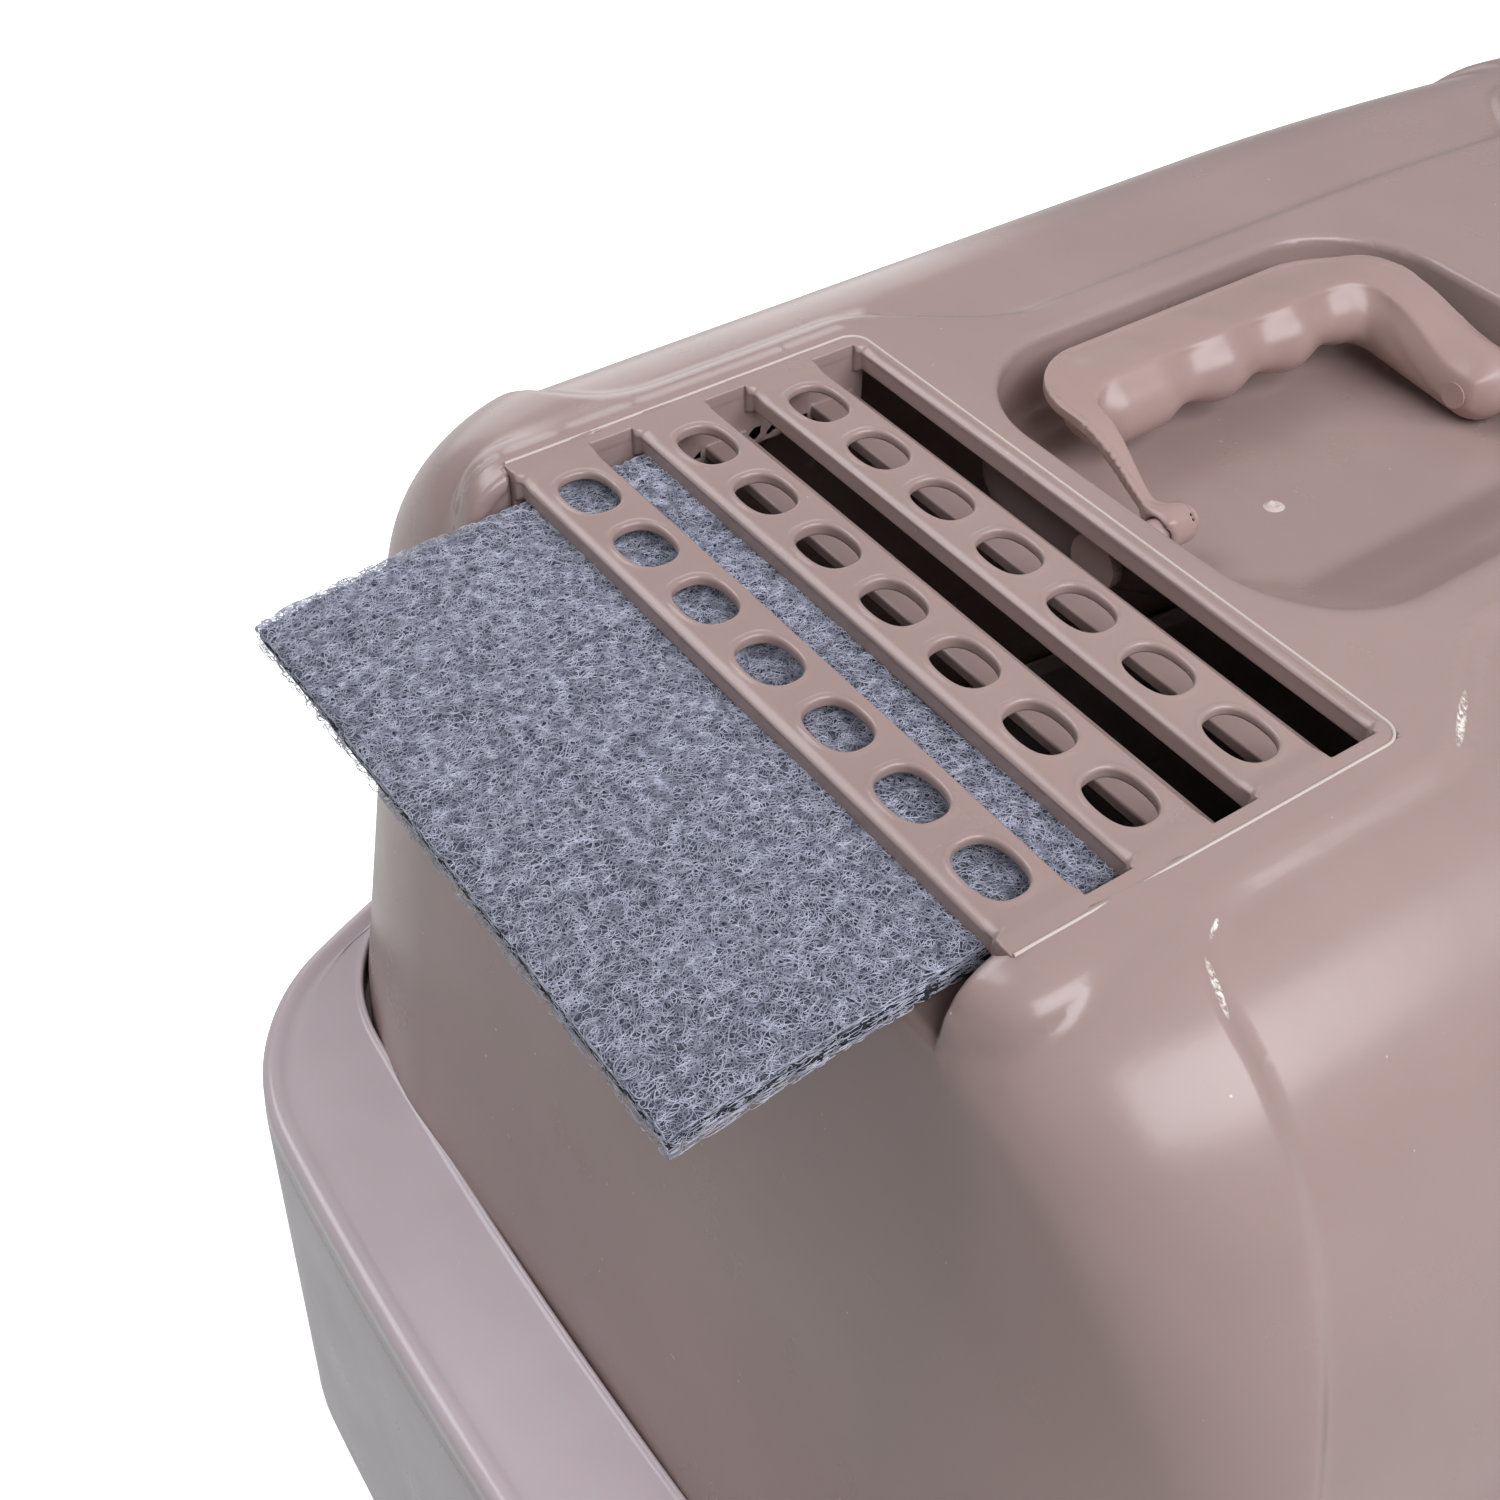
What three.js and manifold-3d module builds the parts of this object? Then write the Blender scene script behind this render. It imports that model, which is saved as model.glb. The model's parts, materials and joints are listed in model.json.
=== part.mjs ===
// Cat litter box with hood: a deep pan with a snap-on rim, a lift-off hood with a filter grille,
// a fold-down carry handle, a sliding carbon filter, a swinging entry flap and two side latches.
// Millimetres, +Z up. The cat enters from -Y, the filter slides out towards +Y.

import * as THREE from 'three';
import { mergeVertices } from 'three/addons/utils/BufferGeometryUtils.js';
import { ConvexGeometry } from 'three/addons/geometries/ConvexGeometry.js';
import Module from 'manifold-3d';

const wasm = await Module();
wasm.setup();

// ---------------------------------------------------------------- driving dimensions

const GAP = 0.3; // between pieces that touch
const DEG = Math.PI / 180;

const RIM_Z = 150; // top of the rim's ledge
const GRILLE_Z = 350; // top of the grille's middle strip
const GRILLE_Y = 152.5; // middle of the grille's middle strip
const TILT = 5.5 * DEG; // the grille and handle deck fall towards the rear

const FILTER = { width: 139, length: 89, thickness: 6, rear: 94, top: -5.2 };
// The drawn-out filter is the rearmost point; the front reaches as far the other way.
const REAR = GRILLE_Y + FILTER.rear * Math.cos(TILT) + FILTER.top * Math.sin(TILT);

const TRAY = {
  rear: 243, front: -REAR, cornerX: 92.5, cornerR: 67.5, endBulge: 3, sideBulge: 42,
  wall: 2.4, draft: 3.5 * DEG, top: 146.7, floor: 3, foot: 2,
};
const RIM = { plate: 3, skirt: 2, skirtDrop: 11, lip: 2, channelZ: 135.5, channelWidth: 9, lipTop: 144 };
const HOOD = {
  rear: 206.5, front: -209, cornerX: 111, cornerR: 54, endBulge: 4, sideBulge: 2,
  bottom: 138.4, wall: 2.6, draft: 4.86 * DEG, shoulderDrop: 75.6, plateauX: 63,
};
const PAN_COLLAR_Z = 133; // the pan's wall stands upright above this, inside the rim
const HOUSING = { topX: 82, footX: 98, rearTop: 38, frontTop: -52, depth: 92 };

const GRILLE = {
  halfWidth: 73, frameX: 76.5, rear: 37, front: -46, channelTop: -3.2, channelFloor: -11.6,
  barThickness: 2.6, slots: [[9.5, 19.3], [-18, -8], [-46, -35.3]], strips: [[19.3, 37], [-8, 9.5], [-35.3, -18]],
  holeRows: [27.4, 0, -27.4], holePitch: 20, holes: 7, holeW: 13.5, holeL: 10,
};

const POCKET = { halfWidth: 55, rear: -56, front: -175, cornerR: 26, depth: 24, wall: 2.6 };
const PIVOT_Z = -13; // handle pivot below the deck
const HANDLE = {
  outerX: 47, innerX: 22, rear: -67.5, front: -166, top: -0.6, thickness: 13, hubR: 7, armRear: 9, armFront: 13,
};

const ENTRY = { halfWidth: 100, bottom: 158, top: 324, cornerR: 12, bossWidth: 9, faceY: -212, depth: 24 };
const FRAME = { flange: 7, flangeThickness: 2.7, sleeve: 3, sleeveDepth: 22 };
const FLAP = { thickness: 3, side: 2, axisDrop: 12, barrelR: 4.5, boreR: 2.3, pinR: 2, bottomGap: 4 };
const LATCH = {
  pivotX: 171.5, pivotZ: 180, halfWidth: 22, plate: 3, barrelR: 5, boreR: 2.1, pinR: 1.8, earWidth: 4, rimGap: 0.8,
};

// ---------------------------------------------------------------- solids

function solid(geometry) {
  const bare = new THREE.BufferGeometry();
  bare.setAttribute('position', geometry.getAttribute('position'));
  if (geometry.index) bare.setIndex(geometry.index);
  const merged = mergeVertices(bare, 1e-4);
  return new wasm.Manifold(new wasm.Mesh({
    numProp: 3,
    vertProperties: new Float32Array(merged.getAttribute('position').array),
    triVerts: new Uint32Array(merged.index.array),
  }));
}

function piece(name, body, material) {
  const mesh = body.getMesh();
  const geometry = new THREE.BufferGeometry();
  geometry.setAttribute('position', new THREE.BufferAttribute(mesh.vertProperties, 3));
  geometry.setIndex(new THREE.BufferAttribute(mesh.triVerts, 1));
  geometry.computeVertexNormals();
  const result = new THREE.Mesh(geometry, material);
  result.name = name;
  return result;
}

const join = (...bodies) => bodies.reduce((all, body) => all.add(body));
const cut = (body, ...tools) => tools.reduce((left, tool) => left.subtract(tool), body);

// Upright prism on a plan outline, optionally with a hole.
function prism(outer, z0, z1, hole = null) {
  const shape = new THREE.Shape(outer);
  if (hole) shape.holes.push(new THREE.Path(hole));
  return solid(new THREE.ExtrudeGeometry(shape, { depth: z1 - z0, bevelEnabled: false }).translate(0, 0, z0));
}

// Prism on an outline in the X-Z plane, from y0 to y1.
function crossPrism(outer, y0, y1, hole = null) {
  const shape = new THREE.Shape(outer);
  if (hole) shape.holes.push(new THREE.Path(hole));
  const geometry = new THREE.ExtrudeGeometry(shape, { depth: y1 - y0, bevelEnabled: false });
  return solid(geometry.rotateX(Math.PI / 2).translate(0, y1, 0));
}

function block(x0, x1, y0, y1, z0, z1) {
  const geometry = new THREE.BoxGeometry(x1 - x0, y1 - y0, z1 - z0);
  return solid(geometry.translate((x0 + x1) / 2, (y0 + y1) / 2, (z0 + z1) / 2));
}

// Round rod along Y.
function rod(radius, x, z, y0, y1, sides = 20) {
  const geometry = new THREE.CylinderGeometry(radius, radius, y1 - y0, sides);
  return solid(geometry.translate(x, (y0 + y1) / 2, z));
}

const hull = (points) => solid(new ConvexGeometry(points));

function roundedRect(x0, x1, y0, y1, r, steps = 5) {
  const corners = [[x1 - r, y1 - r, 0], [x0 + r, y1 - r, 90], [x0 + r, y0 + r, 180], [x1 - r, y0 + r, 270]];
  return corners.flatMap(([cx, cy, start]) => Array.from({ length: steps + 1 }, (_, i) => {
    const angle = (start + (90 * i) / steps) * DEG;
    return new THREE.Vector2(cx + r * Math.cos(angle), cy + r * Math.sin(angle));
  }));
}

// ---------------------------------------------------------------- bulged plan outline

// A rectangle with round corners whose sides and ends bow outwards, moved in by `inset`.
// Each side is one arc, and each corner arc is tangent to its two neighbours.
function planOutline({ rear, front, cornerX, cornerR, endBulge, sideBulge }, inset, cornerSteps = 5, sideSteps = 6) {
  const midY = (rear + front) / 2;
  const cornerY = (rear - front) / 2 - endBulge - cornerR;
  const arcRadius = (half, bulge) => (half * half + bulge * bulge) / (2 * bulge);
  const endR = arcRadius(cornerX, endBulge);
  const sideR = arcRadius(cornerY, sideBulge);
  const endTurn = Math.asin(cornerX / endR);
  const sideTurn = Math.asin(cornerY / sideR);
  const points = [];
  const arc = (cx, cy, radius, from, to, steps) => {
    for (let i = 0; i < steps; i += 1) {
      const angle = from + ((to - from) * i) / steps;
      points.push(new THREE.Vector2(cx + radius * Math.cos(angle), midY + cy + radius * Math.sin(angle)));
    }
  };
  const r = cornerR - inset;
  const quarter = Math.PI / 2;
  const sideX = cornerX + sideBulge - sideR;
  const endY = cornerY + endBulge - endR;
  arc(sideX, 0, sideR + r, -sideTurn, sideTurn, sideSteps);
  arc(cornerX, cornerY, r, sideTurn, quarter - endTurn, cornerSteps);
  arc(0, endY, endR + r, quarter - endTurn, quarter + endTurn, sideSteps);
  arc(-cornerX, cornerY, r, quarter + endTurn, 2 * quarter - sideTurn, cornerSteps);
  arc(-sideX, 0, sideR + r, 2 * quarter - sideTurn, 2 * quarter + sideTurn, sideSteps);
  arc(-cornerX, -cornerY, r, 2 * quarter + sideTurn, 3 * quarter - endTurn, cornerSteps);
  arc(0, -endY, endR + r, 3 * quarter - endTurn, 3 * quarter + endTurn, sideSteps);
  arc(cornerX, -cornerY, r, 3 * quarter + endTurn, 4 * quarter - sideTurn, cornerSteps);
  return points;
}

const ring = (outline, z) => outline.map((p) => new THREE.Vector3(p.x, p.y, typeof z === 'function' ? z(p.y) : z));

// ---------------------------------------------------------------- the sloping deck's own frame

// The grille, pocket, handle and filter are drawn on a flat deck: y runs down the slope to the rear,
// z stands square to it, and the origin is the middle of the grille's middle strip.
const deckMatrix = new THREE.Matrix4().makeTranslation(0, GRILLE_Y, GRILLE_Z)
  .multiply(new THREE.Matrix4().makeRotationX(-TILT));

const onDeck = (body) => body.transform(deckMatrix.elements);

// ---------------------------------------------------------------- pan

function makePan() {
  const { wall, draft, top, floor, foot } = TRAY;
  const bottomInset = RIM.skirt + GAP + (PAN_COLLAR_Z - foot) * Math.tan(draft);
  const outerInset = RIM.skirt + GAP;
  const heel = 14; // rounded heel between wall and floor
  const shell = (extra, base) => hull([
    ...ring(planOutline(TRAY, outerInset + extra), top + (extra > 0 ? 1 : 0)),
    ...ring(planOutline(TRAY, outerInset + extra), PAN_COLLAR_Z),
    ...ring(planOutline(TRAY, bottomInset + extra), base + heel),
    ...ring(planOutline(TRAY, bottomInset + extra + heel * 0.3), base + heel * 0.3),
    ...ring(planOutline(TRAY, bottomInset + extra + heel), base),
  ]);
  let pan = cut(shell(0, foot), shell(wall, foot + floor));
  const footX = 118;
  const footY = 160;
  for (const x of [-footX, footX]) {
    for (const y of [-footY, footY]) {
      const pad = new THREE.CylinderGeometry(15, 14, foot + 1, 24).rotateX(Math.PI / 2);
      pan = join(pan, solid(pad.translate(x, y, (foot + 1) / 2)));
    }
  }
  return pan;
}

// ---------------------------------------------------------------- rim

// The rim clips over the pan's top edge. Its ledge reaches in to a channel that the hood stands in.
function makeRim() {
  const outer = planOutline(TRAY, 0);
  const inner = planOutline(HOOD, -GAP - 0.3);
  const lipOutside = planOutline(HOOD, -GAP - 0.3 - RIM.lip);
  const channelInside = planOutline(HOOD, RIM.channelWidth);
  const innerLipOutside = planOutline(HOOD, RIM.channelWidth - RIM.lip);
  const ledge = prism(outer, RIM_Z - RIM.plate, RIM_Z, inner);
  const skirt = prism(outer, RIM_Z - RIM.skirtDrop, RIM_Z - 1, planOutline(TRAY, RIM.skirt));
  const lip = prism(lipOutside, RIM.channelZ, RIM_Z - 1, inner);
  const channel = prism(lipOutside, RIM.channelZ, RIM.channelZ + RIM.lip, channelInside);
  const innerLip = prism(innerLipOutside, RIM.channelZ, RIM.lipTop, channelInside);
  const panInside = prism(planOutline(TRAY, RIM.skirt + TRAY.wall + 2 * GAP), RIM.channelZ - 1, RIM_Z);
  return join(ledge, skirt, join(lip, channel, innerLip).intersect(panInside));
}

// ---------------------------------------------------------------- hood

// Height of the hood's centre line: it climbs from the rear with the deck, then levels out.
const SLOPE_END = GRILLE_Y - 180;
const LEVEL_OUT = 60;
function crestZ(y) {
  const slope = Math.tan(TILT);
  if (y > SLOPE_END) return GRILLE_Z + slope * (GRILLE_Y - y);
  return GRILLE_Z + slope * (180 + LEVEL_OUT * (1 - Math.exp((y - SLOPE_END) / LEVEL_OUT)));
}

// Solid form of the hood, moved in by `inset`: drafted walls and an elliptical shoulder up to the crest.
function hoodForm(inset) {
  const { bottom, draft, shoulderDrop, plateauX, cornerX, cornerR } = HOOD;
  const halfWidth = cornerX + cornerR + HOOD.sideBulge;
  const wallInset = (GRILLE_Z - shoulderDrop - RIM_Z) * Math.tan(draft);
  const shoulderRun = halfWidth - wallInset - plateauX;
  const points = [
    ...ring(planOutline(HOOD, inset), inset > 0 ? bottom - 5 : bottom),
    ...ring(planOutline(HOOD, inset), RIM_Z),
  ];
  const levels = 5;
  for (let i = 0; i <= levels; i += 1) {
    const turn = (i / levels) * 78 * DEG;
    const plan = wallInset + shoulderRun * (1 - Math.cos(turn));
    const drop = shoulderDrop * (1 - Math.sin(turn));
    const level = (y) => crestZ(y) - drop - inset;
    if (plan + inset < cornerR - 2) {
      points.push(...ring(planOutline(HOOD, plan + inset), level));
    } else {
      const x = halfWidth - plan - inset;
      const outline = roundedRect(-x, x, HOOD.front + plan + inset, HOOD.rear - plan - inset, 4, 3);
      points.push(...ring(outline, level));
    }
  }
  for (let y = HOOD.front + 100; y <= HOOD.rear - 100; y += 20) {
    points.push(new THREE.Vector3(-plateauX + inset, y, crestZ(y) - inset));
    points.push(new THREE.Vector3(plateauX - inset, y, crestZ(y) - inset));
  }
  return hull(points);
}

// The grille's housing stands out of the rounded rear shoulder, with a cheek on each side of the filter.
function housingForm(inset) {
  const { topX, footX, rearTop, frontTop, depth } = HOUSING;
  const footY = HOOD.rear - GRILLE_Y - HOOD.endBulge - 5;
  const corners = [
    [topX, rearTop, 0], [topX, frontTop, 0], [topX - 4, frontTop - 12, 0],
    [footX - 4, rearTop, -12], [footX, footY, -depth], [topX, frontTop, -depth],
  ];
  return onDeck(hull(corners.flatMap(([x, y, z]) => {
    const side = x - inset;
    const along = y - Math.sign(y) * inset;
    const up = z === 0 ? z - inset : z;
    return [new THREE.Vector3(side, along, up), new THREE.Vector3(-side, along, up)];
  })));
}

function grilleCuts() {
  const { halfWidth, slots, strips, holeRows, holePitch, holes, holeW, holeL } = GRILLE;
  const above = 6;
  const cuts = [block(-halfWidth, halfWidth, GRILLE.front, GRILLE.rear + 40, GRILLE.channelFloor, GRILLE.channelTop)];
  for (const [y0, y1] of slots) cuts.push(block(-halfWidth, halfWidth, y0, y1, GRILLE.channelTop - 1, above));
  const margin = 2;
  for (const [y0, y1] of strips) {
    const rear = Math.min(y1 - margin, GRILLE.rear - 4);
    cuts.push(block(-halfWidth, halfWidth, y0 + margin, rear, -40, GRILLE.channelFloor + 1));
  }
  for (const y of holeRows) {
    for (let i = 0; i < holes; i += 1) {
      const x = (i - (holes - 1) / 2) * holePitch;
      const oval = roundedRect(x - holeW / 2, x + holeW / 2, y - holeL / 2, y + holeL / 2, holeL / 2 - 0.2, 3);
      cuts.push(prism(oval, GRILLE.channelTop - 1, above));
    }
  }
  return cuts.map(onDeck);
}

function pocketForm(inset) {
  const { halfWidth, rear, front, cornerR, depth } = POCKET;
  const above = inset > 0 ? 30 : 0;
  const at = (more, z) => ring(roundedRect(
    -halfWidth + inset + more, halfWidth - inset - more, front + inset + more, rear - inset - more,
    cornerR - inset - more,
  ), z);
  return onDeck(hull([...at(0, above), ...at(0, -4), ...at(2, -depth + 6 + inset), ...at(8, -depth + inset)]));
}

// Two ears on each side carry the latch pin.
function latchEars(side) {
  const { pivotX, pivotZ, halfWidth, earWidth, barrelR } = LATCH;
  const ears = [];
  for (const y0 of [-halfWidth - GAP * 2 - earWidth, halfWidth + GAP * 2]) {
    const profile = [
      [HOOD.cornerX + HOOD.cornerR - 9, pivotZ - 16], [pivotX - 3, pivotZ - barrelR],
      [pivotX + barrelR, pivotZ - 3], [pivotX + barrelR, pivotZ + 3], [pivotX - 3, pivotZ + 6],
      [HOOD.cornerX + HOOD.cornerR - 9, pivotZ + 20],
    ].map(([x, z]) => new THREE.Vector2(side * x, z));
    ears.push(crossPrism(side > 0 ? profile : profile.reverse(), y0, y0 + earWidth));
  }
  return join(...ears);
}

function makeHood() {
  const { halfWidth, bottom, top, cornerR, bossWidth, faceY, depth } = ENTRY;
  const outside = join(hoodForm(0), housingForm(0));
  const inside = join(hoodForm(HOOD.wall), housingForm(HOOD.wall));
  const { frameX, front, rear, channelFloor, barThickness } = GRILLE;
  const channelBox = onDeck(block(-frameX, frameX, front - 3, rear + 10, channelFloor - barThickness, 2));
  const bowl = pocketForm(-POCKET.wall);
  const inner = join(channelBox, bowl).intersect(outside);
  const opening = roundedRect(-halfWidth, halfWidth, bottom, top, cornerR);
  const bossOutline = roundedRect(
    -halfWidth - bossWidth, halfWidth + bossWidth, bottom - 6, top + bossWidth, cornerR + bossWidth,
  );
  const boss = crossPrism(bossOutline, faceY, faceY + depth + 8);
  const pinHoles = [[POCKET.rear - 8, POCKET.rear + 12], [POCKET.front - 12, POCKET.front + 8]]
    .map(([y0, y1]) => onDeck(rod(3.3, 0, PIVOT_Z, y0, y1)));
  let hood = join(cut(outside, inside), inner, boss);
  hood = join(hood, cut(join(latchEars(1), latchEars(-1)), inside));
  const earHole = LATCH.halfWidth + LATCH.earWidth + 2;
  for (const side of [-1, 1]) {
    hood = cut(hood, rod(LATCH.pinR + 0.2, side * LATCH.pivotX, LATCH.pivotZ, -earHole, earHole));
  }
  return cut(hood, pocketForm(0.001), ...grilleCuts(), ...pinHoles, crossPrism(opening, faceY - 5, faceY + depth + 20));
}

// ---------------------------------------------------------------- handle

// A bail folded flat: a grip with four finger bumps, two arms and a hub at each end of the pivot.
function makeHandle() {
  const { outerX, innerX, rear, front, top, thickness, hubR, armRear, armFront } = HANDLE;
  const bumps = 4;
  const gripRear = rear - 8;
  const gripFront = front + 8;
  const bumpDepth = 2.2;
  const outline = new THREE.Shape();
  const corner = 16;
  outline.moveTo(innerX - 6, rear);
  outline.lineTo(outerX - corner, rear);
  outline.absarc(outerX - corner, rear - corner, corner, 90 * DEG, 0, true);
  outline.lineTo(outerX, front + corner);
  outline.absarc(outerX - corner, front + corner, corner, 0, -90 * DEG, true);
  outline.lineTo(innerX - 6, front);
  outline.lineTo(innerX - 6, front + armFront);
  const waves = 24;
  for (let i = 0; i <= waves; i += 1) {
    const share = i / waves;
    const wave = Math.cos(share * bumps * 2 * Math.PI) * bumpDepth;
    const y = gripFront + armFront - 4 + (gripRear - armRear + 4 - (gripFront + armFront - 4)) * share;
    outline.lineTo(innerX + wave, y);
  }
  outline.lineTo(innerX - 6, rear - armRear);
  const grip = solid(new THREE.ExtrudeGeometry(outline, {
    depth: thickness - 4, bevelEnabled: true, bevelThickness: 2, bevelSize: 1.6, bevelOffset: -1.6,
    bevelSegments: 2, curveSegments: 5,
  }).translate(0, 0, top - thickness + 2));
  // Each arm slopes down from the grip to its hub.
  const arm = (y0, y1) => join(
    crossPrism([
      [0, PIVOT_Z - 5], [hubR, PIVOT_Z - 4], [innerX, top - thickness], [innerX, top - 1.2], [innerX - 6, top - 2],
      [0, PIVOT_Z + 6],
    ].map(([x, z]) => new THREE.Vector2(x, z)), y0, y1),
    rod(hubR, 0, PIVOT_Z, y0, y1, 24),
  );
  const arms = join(arm(rear - armRear, rear), arm(front, front + armFront));
  const spacers = join(
    rod(hubR - 1, 0, PIVOT_Z, rear, POCKET.rear - 3.4), rod(hubR - 1, 0, PIVOT_Z, POCKET.front + 3.4, front),
  );
  return cut(join(grip, arms, spacers), rod(3.3, 0, PIVOT_Z, front - 20, rear + 20));
}

function handlePin(atRear) {
  const wallY = atRear ? POCKET.rear : POCKET.front;
  const out = atRear ? 1 : -1;
  const span = (a, b) => [wallY + out * a, wallY + out * b].sort((p, q) => p - q);
  return join(rod(3, 0, PIVOT_Z, ...span(-20, 5)), rod(6, 0, PIVOT_Z, ...span(3.4, 6)));
}

// ---------------------------------------------------------------- filter

function makeFilter() {
  const { width, length, thickness, rear, top } = FILTER;
  const outline = roundedRect(-width / 2, width / 2, rear - length, rear, 2, 2);
  return prism(outline, top - thickness, top);
}

// ---------------------------------------------------------------- entry frame and flap

const flapAxisZ = ENTRY.top - FRAME.sleeve - GAP - FLAP.axisDrop;
const flapY = ENTRY.faceY + 9;
const sleeveInside = ENTRY.halfWidth - GAP - FRAME.sleeve;

function makeEntryFrame() {
  const { halfWidth, bottom, top, cornerR, faceY } = ENTRY;
  const grow = (by) => roundedRect(
    -halfWidth - by, halfWidth + by, bottom - Math.min(by, 5.4), top + by, cornerR + Math.max(by, -6),
  );
  const hole = grow(-GAP - FRAME.sleeve);
  const flange = crossPrism(grow(FRAME.flange), faceY - GAP - FRAME.flangeThickness, faceY - GAP, hole);
  const sleeve = crossPrism(grow(-GAP), faceY - 1, faceY + FRAME.sleeveDepth, hole);
  const axis = solid(new THREE.CylinderGeometry(FLAP.boreR, FLAP.boreR, 2 * halfWidth + 4, 16)
    .rotateZ(Math.PI / 2).translate(0, flapY, flapAxisZ));
  return cut(join(flange, sleeve), axis);
}

function makeFlap() {
  const { thickness, side, barrelR, boreR, bottomGap } = FLAP;
  const half = sleeveInside - side;
  const bottom = ENTRY.bottom + FRAME.sleeve + GAP + bottomGap;
  const panel = crossPrism(
    roundedRect(-half, half, bottom, flapAxisZ + 2, 2), flapY - thickness / 2, flapY + thickness / 2,
  );
  const across = (radius, x0, x1, sides) => solid(new THREE.CylinderGeometry(radius, radius, x1 - x0, sides)
    .rotateZ(Math.PI / 2).translate((x0 + x1) / 2, flapY, flapAxisZ));
  const bores = [across(boreR, -half - 1, -half + 14, 16), across(boreR, half - 14, half + 1, 16)];
  return cut(join(panel, across(barrelR, -half, half, 20)), ...bores);
}

function flapPin(side) {
  const { pinR, side: gap } = FLAP;
  const inner = sleeveInside - gap - 10;
  const outer = ENTRY.halfWidth - GAP - 0.4;
  const pin = new THREE.CylinderGeometry(pinR, pinR, outer - inner, 16).rotateZ(Math.PI / 2);
  return solid(pin.translate((side * (inner + outer)) / 2, flapY, flapAxisZ));
}

// ---------------------------------------------------------------- latches

// The lever hangs from its pin, reaches over the ledge and closes on the outside of the rim.
function makeLatch(side) {
  const { pivotX, pivotZ, halfWidth, plate, barrelR, boreR, rimGap } = LATCH;
  const rimX = TRAY.cornerX + TRAY.cornerR + TRAY.sideBulge + rimGap;
  const profile = [
    [pivotX - 2, pivotZ - barrelR], [pivotX + 1, pivotZ + barrelR - 0.5], [rimX + plate, RIM_Z + 5],
    [rimX + plate, RIM_Z - 9], [rimX + plate + 5, RIM_Z - 15], [rimX + plate + 3, RIM_Z - 17],
    [rimX, RIM_Z - 12], [rimX, RIM_Z + 3],
  ].map(([x, z]) => new THREE.Vector2(side * x, z));
  if (side < 0) profile.reverse();
  const lever = crossPrism(profile, -halfWidth, halfWidth);
  const barrel = rod(barrelR, side * pivotX, pivotZ, -halfWidth, halfWidth);
  return cut(join(lever, barrel), rod(boreR, side * pivotX, pivotZ, -halfWidth - 1, halfWidth + 1));
}

function latchPin(side) {
  const reach = LATCH.halfWidth + LATCH.earWidth + 1.5;
  return rod(LATCH.pinR, side * LATCH.pivotX, LATCH.pivotZ, -reach, reach);
}

// ---------------------------------------------------------------- materials and assembly

const plastic = (color, roughness, extra = {}) => new THREE.MeshStandardMaterial(
  { color, roughness, metalness: 0, ...extra },
);
const taupe = () => plastic(0xb29f9a, 0.3);
const browner = () => plastic(0xa88c80, 0.32);
const pinkish = () => plastic(0xb7a8a9, 0.25);
const steel = () => new THREE.MeshStandardMaterial({ color: 0xb8b8b8, roughness: 0.35, metalness: 1 });

const group = new THREE.Group();

const tray = new THREE.Group();
tray.add(piece('base_pan', makePan(), pinkish()), piece('rim_frame', makeRim(), pinkish()));

const hood = new THREE.Group();
hood.add(
  piece('hood_shell', makeHood(), taupe()),
  piece('entry_frame', makeEntryFrame(), browner()),
  piece('flap_door', makeFlap(), plastic(0x6f6a68, 0.15, { transparent: true, opacity: 0.45 })),
);
for (const [name, side] of [['left', -1], ['right', 1]]) {
  hood.add(
    piece(`side_latch_${name}`, makeLatch(side), browner()),
    piece(`latch_pin_${name}`, latchPin(side), steel()),
    piece(`flap_pin_${name}`, flapPin(side), browner()),
  );
}

const deck = new THREE.Group();
deck.position.set(0, GRILLE_Y, GRILLE_Z);
deck.rotation.x = -TILT;
deck.add(
  piece('carry_handle', makeHandle(), browner()),
  piece('handle_pin_rear', handlePin(true), browner()),
  piece('handle_pin_front', handlePin(false), browner()),
  piece('carbon_filter', makeFilter(), plastic(0x5d6470, 1)),
);
hood.add(deck);

group.add(tray, hood);

export default group;
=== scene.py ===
"""Cat litter box with hood: its looks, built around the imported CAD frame.

Lengths are in mm until make_mesh(). The rear is +Y, and the filter slides out that way.
"""
import json
import math

import bpy
import numpy as np
from mathutils import Matrix, Vector


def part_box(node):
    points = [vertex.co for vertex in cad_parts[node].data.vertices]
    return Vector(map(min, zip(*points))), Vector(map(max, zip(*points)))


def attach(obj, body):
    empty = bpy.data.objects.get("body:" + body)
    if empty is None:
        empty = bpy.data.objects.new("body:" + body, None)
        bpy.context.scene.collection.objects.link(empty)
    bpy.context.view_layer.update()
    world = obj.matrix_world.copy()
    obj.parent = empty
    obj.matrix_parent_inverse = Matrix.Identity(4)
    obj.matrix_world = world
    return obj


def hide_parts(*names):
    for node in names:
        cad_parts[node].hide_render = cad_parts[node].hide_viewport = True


MM = 0.001
SEED = 7

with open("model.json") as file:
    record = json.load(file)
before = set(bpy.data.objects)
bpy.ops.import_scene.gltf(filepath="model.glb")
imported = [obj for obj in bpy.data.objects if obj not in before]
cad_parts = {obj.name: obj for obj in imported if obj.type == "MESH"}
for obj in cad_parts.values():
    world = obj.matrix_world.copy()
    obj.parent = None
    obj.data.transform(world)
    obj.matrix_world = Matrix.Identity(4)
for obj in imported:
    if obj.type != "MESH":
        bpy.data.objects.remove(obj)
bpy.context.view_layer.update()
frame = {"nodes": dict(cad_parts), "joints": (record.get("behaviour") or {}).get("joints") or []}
rng = np.random.default_rng(SEED)


# ---- dimensions, mm

def joint(name):
    return next(j for j in frame["joints"] if j["name"] == name)


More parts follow.
